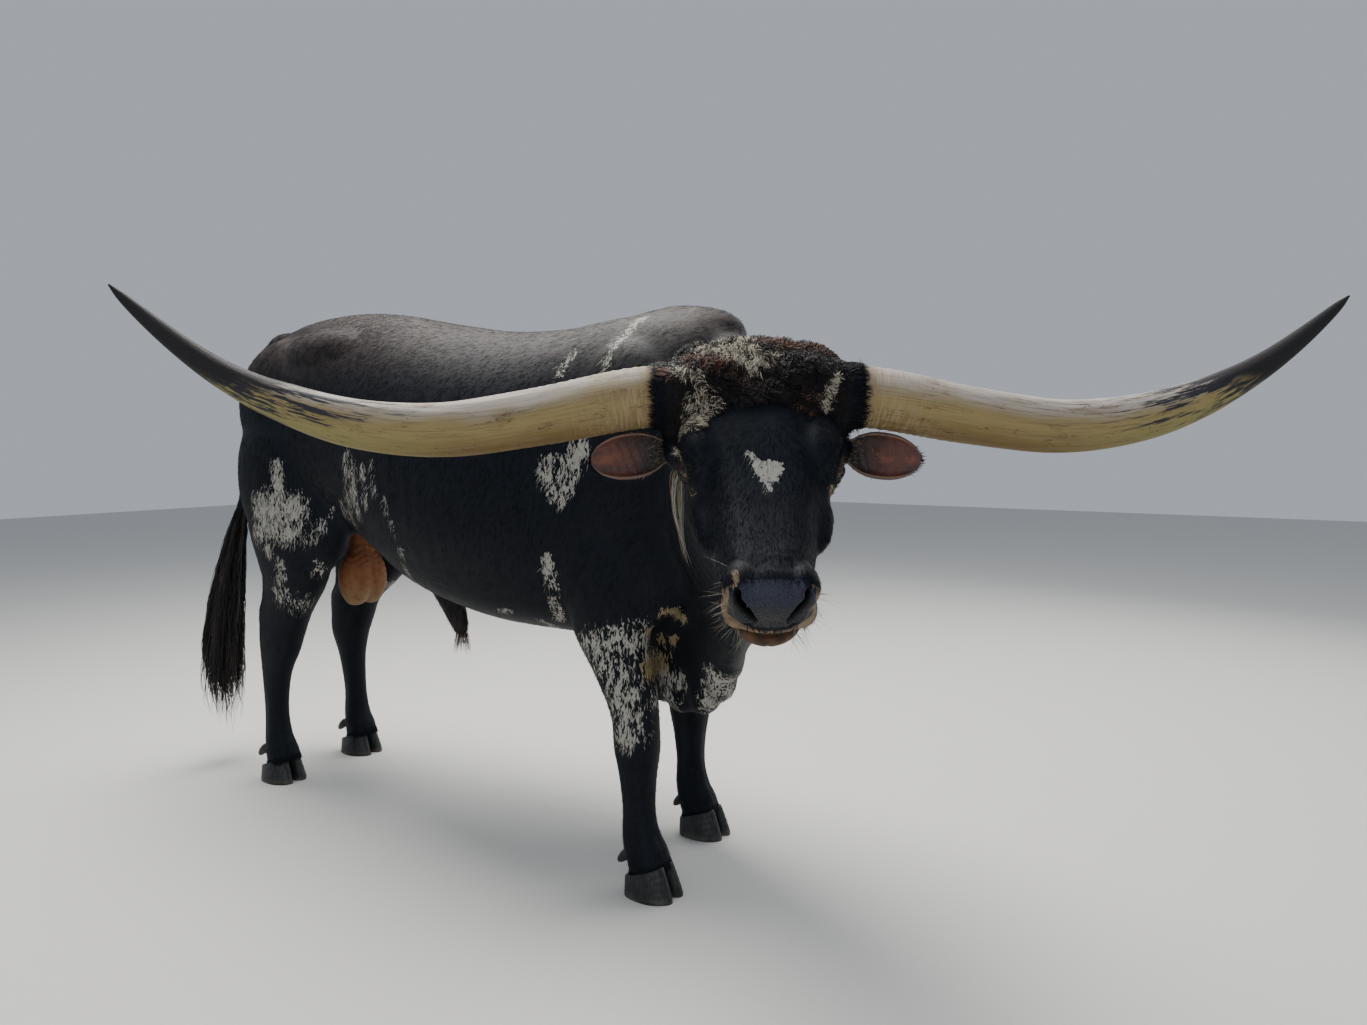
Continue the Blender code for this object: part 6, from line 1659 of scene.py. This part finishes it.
waves, phase = rng.uniform(1.0, 2.4, LONG_HAIRS)[:, None], rng.uniform(0, 6.3, LONG_HAIRS)[:, None]
wave = 0.009 * np.sin(2.0 * np.pi * (waves * share) + phase) * share
path = np.stack([x + np.cos(turn) * spread * 0.9 + wave, y + np.sin(turn) * spread + 0.5 * wave, z], -1)
normal = np.column_stack([np.cos(turn[:, 0]), np.sin(turn[:, 0]), 0 * start])
across = np.column_stack([-normal[:, 1], normal[:, 0], 0 * start])
marks = np.zeros((LONG_HAIRS, 4))
marks[:, 3] = rng.random(LONG_HAIRS)
long_hair = coat_look("long_tail_hair", 0.48, 1.2, 0.2, 0.9, (0.0046, 0.0048, 0.0056), 0.7)
coat_piece("tail_hair", path, rng.uniform(0.003, 0.006, LONG_HAIRS), across, path[:, 0], normal, long_hair,
           marks, thick=0.5, fine_at=2.2, soft=0.35, nodes=["tail_switch"])

# Studio
# Plain pale floor, a large soft light over and behind the bull, and soft light from the front.
FLOOR_HALF = 14.0
corners = FLOOR_HALF * np.array([(-1.0, -1.0, 0.0), (1.0, -1.0, 0.0), (1.0, 1.0, 0.0), (-1.0, 1.0, 0.0)])
floor = put("studio_floor", corners, [(0, 1, 2), (0, 2, 3)])
floor_look = Finish("studio_floor_paint")
floor_look.surface(Base_Color=(0.56, 0.56, 0.54), Roughness=0.85)
floor.data.materials.append(floor_look.material)

world = bpy.data.worlds.new("studio_air")
world.use_nodes = True
world.node_tree.nodes["Background"].inputs["Color"].default_value = (0.74, 0.8, 0.9, 1.0)
world.node_tree.nodes["Background"].inputs["Strength"].default_value = 0.55
bpy.context.scene.world = world

# name, place, aimed at, size, power, colour
LIGHTS = [
    ("key", (-1.6, 0.4, 4.6), (-0.3, -0.3, 0.9), 2.6, 400.0, (1.0, 0.96, 0.9)),
    ("back", (1.2, 3.4, 3.4), (0.2, -0.3, 1.0), 4.0, 120.0, (1.0, 0.96, 0.9)),
    ("front", (2.6, -4.4, 2.4), (0.2, -0.5, 0.9), 3.0, 60.0, (0.9, 0.95, 1.0)),
]
for name, place, target, size, power, tint in LIGHTS:
    lamp = bpy.data.lights.new(name, "AREA")
    lamp.size, lamp.energy, lamp.color = size, power, tint
    holder = bpy.data.objects.new("light_" + name, lamp)
    holder.location = Vector(place) + Vector(SHIFT)
    holder.rotation_euler = (Vector(target) - Vector(place)).to_track_quat("-Z", "Y").to_euler()
    bpy.context.scene.collection.objects.link(holder)

CAMERA_PLACE = (1.384, -2.156, 1.13)
CAMERA_HEADING = (-0.538, 0.843)
# Focal length and width of the picture, in the same unit
FOCAL_LENGTH, PICTURE_WIDTH = 985.0, 1367.0
CAMERA_PITCH = math.atan(74.5 / FOCAL_LENGTH)
lens = bpy.data.cameras.new("camera")
lens.sensor_width = 36.0
lens.lens = 36.0 * FOCAL_LENGTH / PICTURE_WIDTH
camera = bpy.data.objects.new("camera", lens)
camera.location = Vector(CAMERA_PLACE) + Vector(SHIFT)
level = math.cos(CAMERA_PITCH)
sight = Vector((CAMERA_HEADING[0] * level, CAMERA_HEADING[1] * level, -math.sin(CAMERA_PITCH)))
camera.rotation_euler = sight.to_track_quat("-Z", "Y").to_euler()
bpy.context.scene.collection.objects.link(camera)
bpy.context.scene.camera = camera
